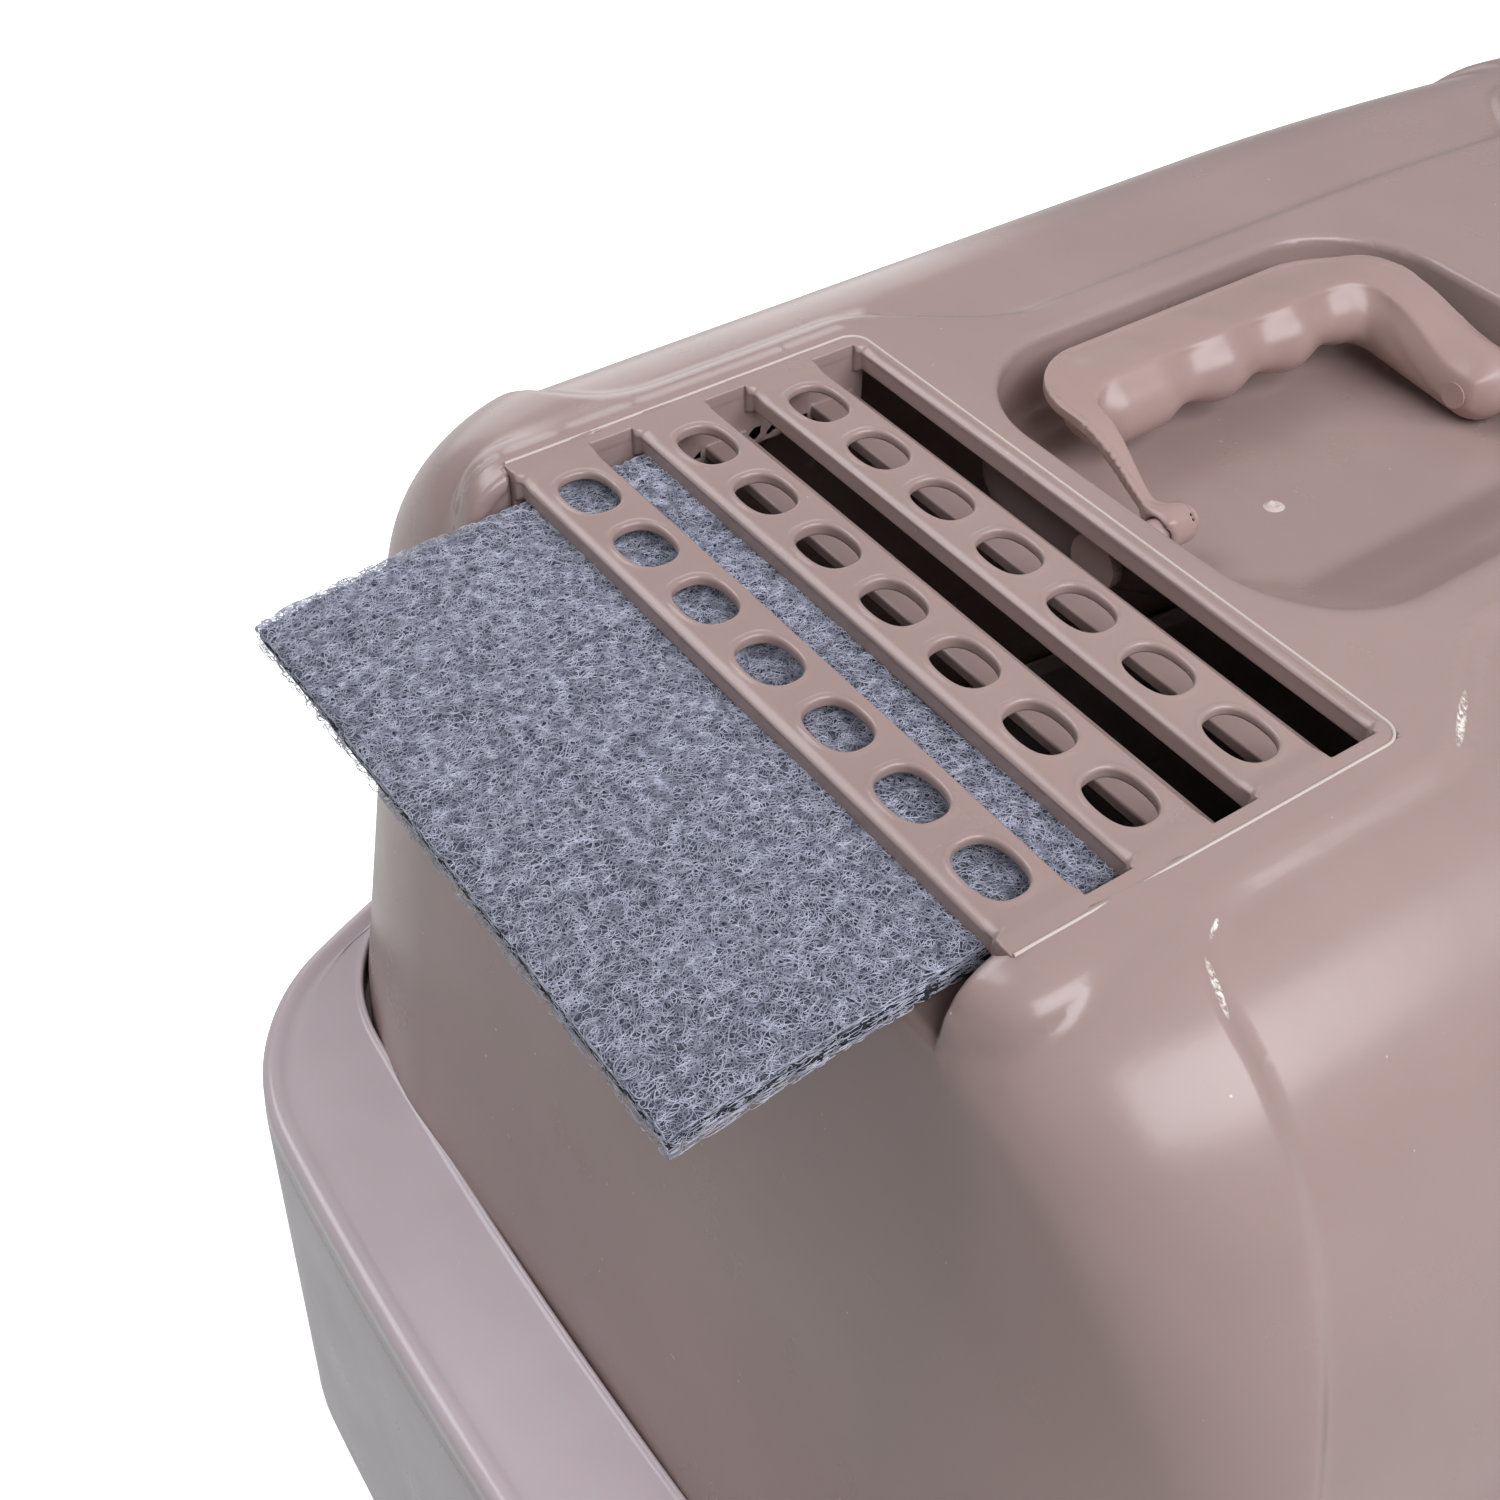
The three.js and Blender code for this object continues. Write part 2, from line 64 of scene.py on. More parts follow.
FILTER_REAR = 94.0
FILTER_TOP = -5.2
FILTER_LENGTH = 89.0
FILTER_THICK = 6.0
FELT_REST, FELT_DROOP = 40, 3.6
slide_axis = Vector(joint("filter_slide")["axis"])
TILT = math.atan2(-slide_axis.z, slide_axis.y)
COS, SIN = math.cos(TILT), math.sin(TILT)
filter_low, filter_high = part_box("carbon_filter")
GRILLE_Y = filter_high.y / MM - FILTER_REAR * COS - FILTER_TOP * SIN
GRILLE_Z = filter_low.z / MM + FILTER_REAR * SIN - (FILTER_TOP - FILTER_THICK) * COS
FILTER_HALF = filter_high.x / MM

RIM_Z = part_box("rim_frame")[1].z / MM
CHANNEL_DEPTH = 14.4
HOOD_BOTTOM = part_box("hood_shell")[0].z / MM
FOOT_X, FOOT_Y = 118, 160
WALL = 3.2
CREST_RUN, CREST_EASE = 180, 60
CREST_END = GRILLE_Y - CREST_RUN

# the hood's dome: half width of its plateau, and run and drop of each shoulder
PLATEAU_X, SIDE_RUN, SIDE_DROP = 86.5, 62.5, 116
SIDE_DRAFT_FROM = 75.6
REAR_START, REAR_RUN, REAR_DROP = GRILLE_Y + 13, 34, 22
FRONT_START, FRONT_RUN, FRONT_DROP = -142.9, 60, 60
DRAFTS = {"side": 8.1, "rear": 2.25, "front": 2.5}
CORNER_POWER = 1.75

# the side panels, sunk into the dome
PANEL_DEPTH, PANEL_EDGE = 2.3, 4.6
PANEL_NARROW, PANEL_WIDE = 66, 87
PANEL_REAR, PANEL_FRONT, PANEL_BOTTOM = GRILLE_Y + 13, -132, 200

# the housing round the filter's mouth, and the softness of its bends
HOUSING_X, HOUSING_REAR, HOUSING_FRONT = 88.8, GRILLE_Y + 46.6, -60
HOUSING_DIP = 1.2
HOUSING_SIDE_BEND, HOUSING_REAR_BEND, HOUSING_FOOT_BEND = 9.5, 15, 1.5

# the grille, in deck coordinates: v runs to the rear, h is square to the deck
GRILLE_HALF, GRILLE_EDGE, GRILLE_SIDE = 73, 76.5, 75.2
WINDOW_X, WINDOW_FRONT, WINDOW_DEPTH = 75.3, -48.3, 11
CHEEK_X, CHEEK_FRONT, CHEEK_DEPTH = 80.0, -48, 16
GRILLE_FRONT, GRILLE_REAR = -49.5, 37.0
BULLNOSES = (-46.0, -18.0, 9.5, 37.0)
SHARP_EDGES = (-35.3, -8.0, 19.3, 90.0)
HOLE_ROWS = (-27.4, 0.0, 27.4)
HOLE_PITCH, HOLE_HALF_X, HOLE_HALF_V = 20, 6.75, 5.0
BAR_TOP, BAR_BOTTOM = -11.6, -14.4
MOUTH_FLOOR = -15.3
SILL_X, SILL_FRONT, SILL_THICK = 76, 34, 2.6

# the handle's pocket, and the handle in it
POCKET_X, POCKET_REAR, POCKET_FRONT, POCKET_CORNER = 53.6, -55.4, -176.4, 27
POCKET_DEPTH, POCKET_TILT = 17.5, 4.5
PIVOT_H = -13.0
GRIP_X, GRIP_H, GRIP_RADIUS = 35.0, -8.7, 6.9
BUMP_PITCH, BUMP_HEIGHT, FIRST_BUMP = 20.8, 1.25, -94
ARM_V, ARM_RADIUS = -163.5, 8.2

ENTRY_X, ENTRY_LOW, ENTRY_HIGH, ENTRY_CORNER = 100, 158, 324, 12
ENTRY_FACE = -212.0
ENTRY_BOSS = 8.6

LATCH_PIN_X, LATCH_PIN_Z, LATCH_HALF = 171.5, 180.0, 22.0
EAR_Y, EAR_RADIUS = 24.4, 4.8

TRAY = {"rear": 243.0, "front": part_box("rim_frame")[0].y / MM, "x": 92.5, "r": 67.5, "end": 3.0, "side": 42.0}
HOOD = {"rear": 206.5, "front": -209.0, "x": 111.0, "r": 54.0, "end": 4.0, "side": 2.0}


# ---- shapes as distance fields

def smin(a, b, k):
    share = np.clip(0.5 + 0.5 * (b - a) / k, 0, 1)
    return b + (a - b) * share - k * share * (1 - share)


def smax(a, b, k):
    return -smin(-a, -b, k)


def ease(x, start, end):
    t = np.clip((x - start) / (end - start), 0, 1)
    return t * t * (3 - 2 * t)


def ramp(w, width=20.0):
    """w where it is positive and 0 where it is negative, with a soft bend between."""
    return (np.sqrt(w * w + width * width) + w) / 2


def round_box(dx, dy, radius):
    """Distance to a round-cornered rectangle, from the distances past its straight sides."""
    x, y = dx + radius, dy + radius
    return np.hypot(np.maximum(x, 0), np.maximum(y, 0)) + np.minimum(np.maximum(x, y), 0) - radius


def capsule(p, a, b, radius):
    a, b = np.array(a, float), np.array(b, float)
    d = b - a
    rel = [p[i] - a[i] for i in range(3)]
    t = np.clip((rel[0] * d[0] + rel[1] * d[1] + rel[2] * d[2]) / (d @ d), 0, 1)
    return np.sqrt(sum((rel[i] - t * d[i]) ** 2 for i in range(3))) - radius


def to_deck(x, y, z):
    y, z = y - GRILLE_Y, z - GRILLE_Z
    return x, y * COS - z * SIN, y * SIN + z * COS


def from_deck(p):
    p = np.asarray(p, float)
    v, h = p[:, 1], p[:, 2]
    return np.column_stack([p[:, 0], GRILLE_Y + v * COS + h * SIN, GRILLE_Z - v * SIN + h * COS])


def from_deck_direction(p):
    v, h = p[:, 1], p[:, 2]
    return np.column_stack([p[:, 0], v * COS + h * SIN, -v * SIN + h * COS])


def crest(y):
    slope = math.tan(TILT)
    rising = GRILLE_Z + slope * (GRILLE_Y - y)
    eased = CREST_RUN + CREST_EASE * (1 - np.exp(np.minimum(y - CREST_END, 0) / CREST_EASE))
    return np.where(y > CREST_END, rising, GRILLE_Z + slope * eased)


def dome(x, y, z):
    """The plain hood form: a sloping plateau, elliptical shoulders and drafted walls."""
    down = GRILLE_Z - np.maximum(z, RIM_Z)
    tan = {k: math.tan(math.radians(d)) for k, d in DRAFTS.items()}
    side_run = SIDE_RUN + tan["side"] * ramp(down - SIDE_DRAFT_FROM)
    rear_run = REAR_RUN + tan["rear"] * ramp(down - REAR_DROP)
    front_run = FRONT_RUN + tan["front"] * ramp(down - FRONT_DROP)
    parts = [
        (np.maximum(np.abs(x) - PLATEAU_X, 0) / side_run, side_run, SIDE_DROP),
        (np.maximum(y - REAR_START, 0) / rear_run, rear_run, REAR_DROP),
        (np.maximum(FRONT_START - y, 0) / front_run, front_run, FRONT_DROP),
    ]
    weights = [s ** CORNER_POWER for s, _, _ in parts]
    total = sum(weights) + 1e-12
    out = total ** (1 / CORNER_POWER)
    run = sum(w * p[1] for w, p in zip(weights, parts)) / total
    drop = (sum(w * p[2] for w, p in zip(weights, parts)) + 1e-12 * SIDE_DROP) / total
    up = np.maximum((z - crest(y)) / drop + 1, 0)
    reach = np.sqrt(out * out + up * up)
    scale = drop + (run - drop) * out * out / (reach * reach + 1e-9)
    return (reach - 1) * scale


def panel_inside(x, y, z):
    """How far inside a side panel's outline, negative outside it."""
    wide = ease(GRILLE_Y - y, 88, 46)
    front_wide = ease(y, -88, -118)
    line = PANEL_NARROW + (PANEL_WIDE - PANEL_NARROW) * np.maximum(wide, front_wide)
    inwards = np.abs(x) - line
    ends = smin(PANEL_REAR - y, y - PANEL_FRONT, 5)
    return smin(smin(inwards, ends, 20), z - PANEL_BOTTOM, 24)


def panel_mask(inside):
    """0 outside a side panel, rising to 1 inside it."""
    return np.clip(smin(inside / PANEL_EDGE + 1, 1.0, 0.3), 0, 1) ** 1.5


def housing(x, y, z):
    """The raised block round the filter's mouth. Its top dips a little towards the front."""
    _, v, h = to_deck(x, y, z)
    top = h + HOUSING_DIP * (1 - ease(v, -16, 20))
    block = smax(top, np.abs(x) - HOUSING_X, HOUSING_SIDE_BEND)
    block = smax(block, y - HOUSING_REAR, HOUSING_REAR_BEND)
    return smax(block, HOUSING_FRONT - v, 4)


def pocket(x, v, h):
    """The handle's pocket, steep on one side and gentle on the other, and the softness of its rim."""
    middle, half_long = (POCKET_REAR + POCKET_FRONT) / 2, (POCKET_REAR - POCKET_FRONT) / 2
    d = round_box(np.abs(x) - POCKET_X, np.abs(v - middle) - half_long, POCKET_CORNER)
    steep = ease(x, -42, 8)
    slope = 1.0 - 0.93 * steep
    wall = (d - slope * h) / np.sqrt(1 + slope * slope)
    floor = -(h + POCKET_DEPTH + POCKET_TILT * ease(x, -40, 16))
    return smax(wall, floor, 24 - 17 * steep), 1.4 + 0.7 * steep


def hood_skin(x, y, z):
    """The outside of the hood, before it is hollowed and opened."""
    _, v, h = to_deck(x, y, z)
    sunk = dome(x, y, z) + PANEL_DEPTH * panel_mask(panel_inside(x, y, z))
    skin = smin(sunk, housing(x, y, z), HOUSING_FOOT_BEND)
    hollow, edge = pocket(x, v, h)
    return smax(skin, -hollow, edge)


def hood_inner(x, y, z):
    """The inside of the wall. It steps in before the panels' crease does, to keep the wall thick there."""
    _, v, h = to_deck(x, y, z)
    early = ease(panel_inside(x, y, z), -18, -PANEL_EDGE)
    skin = smin(dome(x, y, z) + PANEL_DEPTH * early, housing(x, y, z), HOUSING_FOOT_BEND)
    hollow, edge = pocket(x, v, h)
    return smax(skin, -hollow, edge) + WALL


def entry_outline(x, z):
    half_z = (ENTRY_HIGH - ENTRY_LOW) / 2
    return round_box(np.abs(x) - ENTRY_X, np.abs(z - ENTRY_LOW - half_z) - half_z, ENTRY_CORNER)


def hood_field(x, y, z):
    """A hollow shell with an entry, the grille's window, the filter's mouth and the latches' ears."""
    ax = np.abs(x)
    _, v, h = to_deck(x, y, z)
    skin = hood_skin(x, y, z)
    shell = smax(skin, -hood_inner(x, y, z), 0.3)
    entry = entry_outline(x, z)
    boss = smax(smax(entry - ENTRY_BOSS, ENTRY_FACE - y, 1.6), y + 194, 1)
    shell = smin(shell, boss, 2.5)
    cheek = smax(smax(GRILLE_HALF - ax, ax - CHEEK_X, 0.5), -CHEEK_DEPTH - h, 0.5)
    cheek = smax(smax(cheek, CHEEK_FRONT - v, 0.5), skin + 0.02, 0.1)
    sill = smax(smax(h - MOUTH_FLOOR, MOUTH_FLOOR - SILL_THICK - h, 0.4), ax - SILL_X, 0.4)
    sill = smax(smax(sill, SILL_FRONT - v, 0.4), skin + 0.02, 0.1)
    shell = smin(smin(shell, cheek, 0.4), sill, 0.4)
    window = np.maximum(np.maximum(ax - WINDOW_X, WINDOW_FRONT - v), v - GRILLE_REAR)
    window = np.maximum(window, -WINDOW_DEPTH - h)
    shell = smax(shell, -window, 0.4)
    mouth = smax(smax(ax - GRILLE_HALF, GRILLE_REAR - 1 - v, 0.5), MOUTH_FLOOR - h, 0.5)
    shell = smax(shell, -mouth, 2.2)
    shell = smax(shell, -np.maximum(entry, y + 170), 0.8)
    past_ends = np.maximum(ax - LATCH_PIN_X, 0) + np.maximum(158 - ax, 0)
    ear = np.hypot(past_ends, z - LATCH_PIN_Z) - EAR_RADIUS
    ear = smax(ear, np.abs(np.abs(y) - EAR_Y) - 2, 1)
    shell = smin(shell, ear, 1.2)
    return smax(shell, HOOD_BOTTOM + 0.2 - z, 0.4)


def hole_distance(x, v):
    """Distance to the nearest of the three rows of oval holes."""
    dx = np.abs(x - HOLE_PITCH * np.clip(np.round(x / HOLE_PITCH), -3, 3))
    rows = [np.abs(v - row) for row in HOLE_ROWS]
    dv = np.minimum(np.minimum(rows[0], rows[1]), rows[2])
    q = ((dx / HOLE_HALF_X) ** 2.5 + (dv / HOLE_HALF_V) ** 2.5 + 1e-9) ** 0.4
    return (q - 1) * (HOLE_HALF_V + (HOLE_HALF_X - HOLE_HALF_V) * dx / (dx + dv + 1e-6))


def grille_field(x, v, h):
    """The grille: strips with bullnosed rear edges, slots, oval holes, side walls and lower bars."""
    ax = np.abs(x)
    holes = hole_distance(x, v)
    low_strip = np.maximum(ease(v, -9, -16) * ease(v, -46, -40), ease(v, 14, 19))
    crown = 0.3 * (x / 60.0) ** 2 * (ax < GRILLE_HALF) * ease(ax, GRILLE_HALF, GRILLE_HALF - 6)
    top = 0.06 - (0.5 * low_strip * ease(ax, GRILLE_HALF, GRILLE_HALF - 5)) - crown
    top = top + 0.22 * np.exp(-((holes - 0.75) / 0.55) ** 2)
    surface = h - top
    flange = np.minimum.reduce([np.abs(v - (edge - 1.3)) - 1.3 for edge in BULLNOSES])
    flange = smax(smax(flange, -6.4 - h, 0.6), ax - GRILLE_HALF - 1, 0.4)
    side = smax(smax(GRILLE_HALF - ax, ax - GRILLE_SIDE, 0.3), -15 - h, 0.3)
    under = smin(smin(-2.7 - h, flange, 0.8), side, 0.8)
    body = smax(surface, under, 0.3)
    for nose, sharp in zip(BULLNOSES, SHARP_EDGES):
        slot = np.maximum(np.maximum(nose - v, v - sharp), ax - GRILLE_HALF)
        at_nose = v < (nose + min(sharp, nose + 12)) / 2
        soft = 0.5 + 3.6 * at_nose * ease(ax, GRILLE_HALF - 0.4, GRILLE_HALF - 2.2)
        body = smax(body, -slot, soft)
    body = smax(body, -holes, 0.7)
    for nose, sharp in list(zip(BULLNOSES, SHARP_EDGES))[:3]:
        bar = np.maximum(nose - 0.4 - v, v - sharp + 0.3)
        bar = smax(smax(bar, h - BAR_TOP, 0.5), BAR_BOTTOM - h, 0.5)
        body = smin(body, smax(bar, ax - 75, 0.3), 0.4)
    edge = round_box(ax - GRILLE_EDGE + 0.1, np.abs(v - 0.1) - 49.55, 4.5)
    return smax(smax(body, edge, 0.2), v - GRILLE_REAR, 0.3)


def handle_field(x, v, h):
    """A folded bail: lipped plate outside, a round grip with finger bumps inside, and a thick front arm."""
    p = (x, v, h)
    outer = round_box(np.abs(x - 3.5) - 43.5, np.abs(v + 119.5) - 52, 17 + 12 * ease(v, -110, -140))
    fall = ease(x, 34, 0)
    top = -0.7 - 9.5 * fall * fall
    taper = 4.4 * ease(x, 32, 4)
    inner = round_box(np.abs(x - 3.5) - 30, np.maximum(v + 75.5 - taper, -158 - v), 8)
    plate = smax(smax(np.abs(h - top + 1.3) - 1.3, outer, 1.0), -inner, 1.2)
    plate = smax(plate, -2 - x, 1)
    lip = smax(np.abs(outer + 0.7) - 0.7, np.abs(h - top) - 0.35, 0.5)
    plate = smin(plate, smax(lip, -2 - x, 1), 0.5)
    wave = np.cos((np.minimum(v, FIRST_BUMP) - FIRST_BUMP) * 2 * math.pi / BUMP_PITCH)
    radius = GRIP_RADIUS + BUMP_HEIGHT * wave * ease(v, -156, -147)
    grip = np.hypot(np.maximum(np.abs(x - GRIP_X) - 1.0, 0), h - GRIP_H)
    grip = np.sqrt(grip ** 2 + np.maximum(v + 84, 0) ** 2 + np.maximum(-160 - v, 0) ** 2) - radius
    bar = capsule(p, (34, ARM_V, -9.4), (0, ARM_V, -12.6), ARM_RADIUS)
    body = smin(smin(plate, grip, 5.0), bar, 5)
    hub = smax(np.hypot(x, h - PIVOT_H) - 4.3, np.abs(v + 71.5) - 3.4, 1.4)
    body = smin(body, hub, 3)
    bore = np.maximum(np.hypot(x, h - PIVOT_H) - 3.3, -85 - v)
    return smax(body, -bore, 0.4)


def latch_field(side):
    """A side lever: hung on its pin, over the ledge and round the rim's outside."""
    rim_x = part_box("rim_frame")[1].x / MM + 0.8
    path = [(LATCH_PIN_X, LATCH_PIN_Z), (173.0, 181.5), (rim_x + 1.2, RIM_Z + 3.0),
            (rim_x + 1.6, RIM_Z - 8.5), (rim_x + 5.2, RIM_Z - 15.0)]

    def field(x, y, z):
        x = x * side
        p = (x, 0 * x, z)
        d = None
        for a, b in zip(path, path[1:]):
            part = capsule(p, (a[0], 0, a[1]), (b[0], 0, b[1]), 1.55)
            d = part if d is None else smin(d, part, 2.5)
        rib = np.abs(np.abs(y) - 9) - 1.1
        rib = smax(rib, d - 1.0, 0.8)
        d = smin(d, rib, 0.8)
        from_pin = np.hypot(x - LATCH_PIN_X, z - LATCH_PIN_Z)
        d = smin(d, from_pin - 4.9, 2)
        d = smax(d, np.abs(y) - LATCH_HALF + 0.1, 2.2)
        gap = np.maximum(np.maximum(x - rim_x + 0.3, z - RIM_Z - 0.6), 150 - x)
        d = smax(d, -gap, 0.3)
        return smax(d, 2.1 - from_pin, 0.3)

    return field


# ---- meshes from distance fields

def sample_grid(field, low, cells, step, block):
    """Field values on a grid. Far from the surface only one value per block is worked out."""
    coarse = cells // block
    mids = [low[a] + (np.arange(coarse[a]) + 0.5) * step * block for a in range(3)]
    values = field(*np.meshgrid(*mids, indexing="ij"))
    signs = np.where(values < 0, -1e3, 1e3).astype(np.float32)
    for axis in range(3):
        signs = np.repeat(signs, block, axis)
    grid = np.pad(signs, ((0, 1),) * 3, mode="edge")
    reach = step * block * 1.35 + 0.6
    near = np.argwhere(np.abs(values) < reach)
    steps = np.arange(block + 1)
    for part in np.array_split(near, max(1, len(near) // 4000)):
        i = part[:, 0, None, None, None] * block + steps[None, :, None, None]
        j = part[:, 1, None, None, None] * block + steps[None, None, :, None]
        k = part[:, 2, None, None, None] * block + steps[None, None, None, :]
        i, j, k = np.broadcast_arrays(i, j, k)
        grid[i, j, k] = field(low[0] + i * step, low[1] + j * step, low[2] + k * step)
    return grid


def cell_points(grid, active):
    """One point in each cell that the surface crosses: the middle of its edge crossings."""
    i, j, k = active.T
    total = np.zeros((len(active), 3))
    count = np.zeros(len(active))
    for axis in range(3):
        others = [a for a in range(3) if a != axis]
        for s in (0, 1):
            for t in (0, 1):
                start = np.zeros(3, int)
                start[others[0]], start[others[1]] = s, t
                end = start.copy()
                end[axis] = 1
                a = grid[i + start[0], j + start[1], k + start[2]].astype(float)
                b = grid[i + end[0], j + end[1], k + end[2]].astype(float)
                hit = (a < 0) != (b < 0)
                share = a[hit] / (a[hit] - b[hit])
                total[hit] += start + share[:, None] * (end - start)
                count[hit] += 1
    return active + total / count[:, None]


def surface_nets(field, low, high, step, block=4):
    """Vertices and faces of the surface where field is 0, solid where it is negative."""
    low = np.array(low, float)
    cells = np.ceil((np.array(high, float) - low) / (step * block)).astype(int) * block
    grid = sample_grid(field, low, cells, step, block)
    inside = grid < 0
    corners = np.zeros(cells, np.int8)
    for a in (0, 1):
        for b in (0, 1):
            for c in (0, 1):
                corners += inside[a:a + cells[0], b:b + cells[1], c:c + cells[2]]
    active = np.argwhere((corners > 0) & (corners < 8))
    index = np.full(cells, -1, np.int64)
    index[tuple(active.T)] = np.arange(len(active))
    points = low + cell_points(grid, active) * step
    faces = []
    for axis in range(3):
        u, v = [(1, 2), (2, 0), (0, 1)][axis]
        a = inside.take(range(cells[axis]), axis)
        b = inside.take(range(1, cells[axis] + 1), axis)
        edges = np.argwhere(a != b)
        within = (edges[:, [u, v]] > 0).all(1) & (edges[:, [u, v]] < cells[[u, v]]).all(1)
        edges = edges[within]
        du, dv = np.eye(3, dtype=int)[u], np.eye(3, dtype=int)[v]
        quad = [index[tuple((edges - m).T)] for m in (0 * du, du, du + dv, dv)]
        quad = np.column_stack(quad)
        solid_first = a[tuple(edges.T)]
        quad[solid_first] = quad[solid_first][:, ::-1]
        faces.append(quad[:, ::-1])
    faces = np.vstack(faces)
    return points, faces[(faces >= 0).all(1)]


def slope_of(field, p, d):
    columns = []
    for axis in range(3):
        up, down = p.copy(), p.copy()
        up[:, axis] += d
        down[:, axis] -= d
        columns.append((field(*up.T) - field(*down.T)) / (2 * d))
    return np.column_stack(columns)


def settle(field, points, step):
    """Moves the points onto the surface and returns them with the surface's normals."""
    start = points.copy()
    for _ in range(5):
        g = slope_of(field, points, step * 0.12)
        value = field(*points.T)
        move = -value / np.maximum((g * g).sum(1), 0.15)
        points = points + np.clip(move, -step * 0.5, step * 0.5)[:, None] * g
        away = points - start
        far = np.linalg.norm(away, axis=1)
        points = start + away * np.minimum(1, step * 0.9 / np.maximum(far, 1e-9))[:, None]
    normals = slope_of(field, points, step * 0.12)
    return points, normals / np.maximum(np.linalg.norm(normals, axis=1), 1e-9)[:, None]


def add_object(name, data):
    made = bpy.data.objects.new(name, data)
    bpy.context.scene.collection.objects.link(made)
    return made


def make_mesh(name, points, faces, normals=None):
    mesh = bpy.data.meshes.new(name)
    if isinstance(faces, np.ndarray):
        faces = faces.tolist()
    mesh.from_pydata((np.asarray(points) * MM).tolist(), [], faces)
    mesh.polygons.foreach_set("use_smooth", [True] * len(mesh.polygons))
    mesh.validate()
    if normals is not None:
        mesh.normals_split_custom_set_from_vertices(np.asarray(normals).tolist())
    mesh.update()
    return add_object(name, mesh)


def carve(name, field, low, high, step, deck=False):
    """A mesh of the surface where field is 0, between two corners, in deck coordinates where deck is set."""
    points, faces = surface_nets(field, low, high, step)
    points, normals = settle(field, points, step)
    used = np.unique(faces)
    remap = np.full(len(points), -1)
    remap[used] = np.arange(len(used))
    points, normals, faces = points[used], normals[used], remap[faces]
    if deck:
        points, normals = from_deck(points), from_deck_direction(normals)
    return make_mesh(name, points, faces, normals)


# ---- meshes from closed loops

def plan_outline(plan, inset, corner_steps=20, side_steps=40):
    """A rectangle with round corners and bowed sides, as in the CAD."""
    mid = (plan["rear"] + plan["front"]) / 2
    corner_y = (plan["rear"] - plan["front"]) / 2 - plan["end"] - plan["r"]
    end_r = (plan["x"] ** 2 + plan["end"] ** 2) / (2 * plan["end"])
    side_r = (corner_y ** 2 + plan["side"] ** 2) / (2 * plan["side"])
    end_turn = math.asin(plan["x"] / end_r)
    side_turn = math.asin(corner_y / side_r)
    r = plan["r"] - inset
    quarter = math.pi / 2
    side_x = plan["x"] + plan["side"] - side_r
    end_y = corner_y + plan["end"] - end_r
    arcs = [
        (side_x, 0, side_r + r, -side_turn, side_turn, side_steps),
        (plan["x"], corner_y, r, side_turn, quarter - end_turn, corner_steps),
        (0, end_y, end_r + r, quarter - end_turn, quarter + end_turn, side_steps),
        (-plan["x"], corner_y, r, quarter + end_turn, 2 * quarter - side_turn, corner_steps),
        (-side_x, 0, side_r + r, 2 * quarter - side_turn, 2 * quarter + side_turn, side_steps),
        (-plan["x"], -corner_y, r, 2 * quarter + side_turn, 3 * quarter - end_turn, corner_steps),
        (0, -end_y, end_r + r, 3 * quarter - end_turn, 3 * quarter + end_turn, side_steps),
        (plan["x"], -corner_y, r, 3 * quarter + end_turn, 4 * quarter - side_turn, corner_steps),
    ]
    points = []
    for cx, cy, radius, start, end, steps in arcs:
        angle = start + (end - start) * np.arange(steps) / steps
        points.append(np.column_stack([cx + radius * np.cos(angle), mid + cy + radius * np.sin(angle)]))
    return np.vstack(points)


def round_rect(x0, x1, y0, y1, radius, steps=10):
    points = []
    for cx, cy, start in ((x1 - radius, y1 - radius, 0), (x0 + radius, y1 - radius, 90),
                          (x0 + radius, y0 + radius, 180), (x1 - radius, y0 + radius, 270)):
        angle = np.radians(start + 90 * np.arange(steps + 1) / steps)
        points.append(np.column_stack([cx + radius * np.cos(angle), cy + radius * np.sin(angle)]))
    return np.vstack(points)


def level(outline, z):
    return np.column_stack([outline, np.full(len(outline), float(z))])


def rings(plan, profile, base=0.0):
    """Level loops round a plan, one for each inset and height of the profile."""
    return [level(plan_outline(plan, inset), base + z) for inset, z in profile]


def loft(name, loops, around=False, capped=(False, False)):
    """Faces between closed loops of equally many points; around joins the last loop to the first."""
    n = len(loops[0])
    faces = []
    pairs = list(range(len(loops) - 1)) + ([len(loops) - 1] if around else [])
    for a in pairs:
        b = (a + 1) % len(loops)
        for i in range(n):
            j = (i + 1) % n
            faces.append((a * n + i, a * n + j, b * n + j, b * n + i))
    if capped[0]:
        faces.append(tuple(range(n - 1, -1, -1)))
    if capped[1]:
        faces.append(tuple((len(loops) - 1) * n + i for i in range(n)))
    return make_mesh(name, np.vstack(loops), faces)


def fit_edges(obj, angle=32):
    """Smooth shading that keeps edges sharper than angle."""
    bpy.context.view_layer.objects.active = obj
    obj.select_set(True)
    bpy.ops.object.shade_smooth_by_angle(angle=math.radians(angle))
    obj.select_set(False)


# ---- materials

def new_material(name):
    material = bpy.data.materials.new(name)
    material.use_nodes = True
    tree = material.node_tree
    shader = next(n for n in tree.nodes if n.type == "BSDF_PRINCIPLED")
    return material, tree, shader


def set_values(node, values):
    for name, value in values.items():
        node.inputs[name].default_value = value


def object_coords(tree):
    return tree.nodes.new("ShaderNodeTexCoord").outputs["Object"]


def noise(tree, scale, detail=2.0, rough=0.5):
    """The value of a noise in object coordinates."""
    node = tree.nodes.new("ShaderNodeTexNoise")
    set_values(node, {"Scale": scale, "Detail": detail, "Roughness": rough})
    tree.links.new(object_coords(tree), node.inputs["Vector"])
    return node.outputs["Fac"]


def spread(tree, value, low, high, out_low, out_high):
    """value with low to high carried over to out_low to out_high, and held there beyond."""
    node = tree.nodes.new("ShaderNodeMapRange")
    set_values(node, {"From Min": low, "From Max": high, "To Min": out_low, "To Max": out_high})
    tree.links.new(value, node.inputs["Value"])
    return node.outputs["Result"]


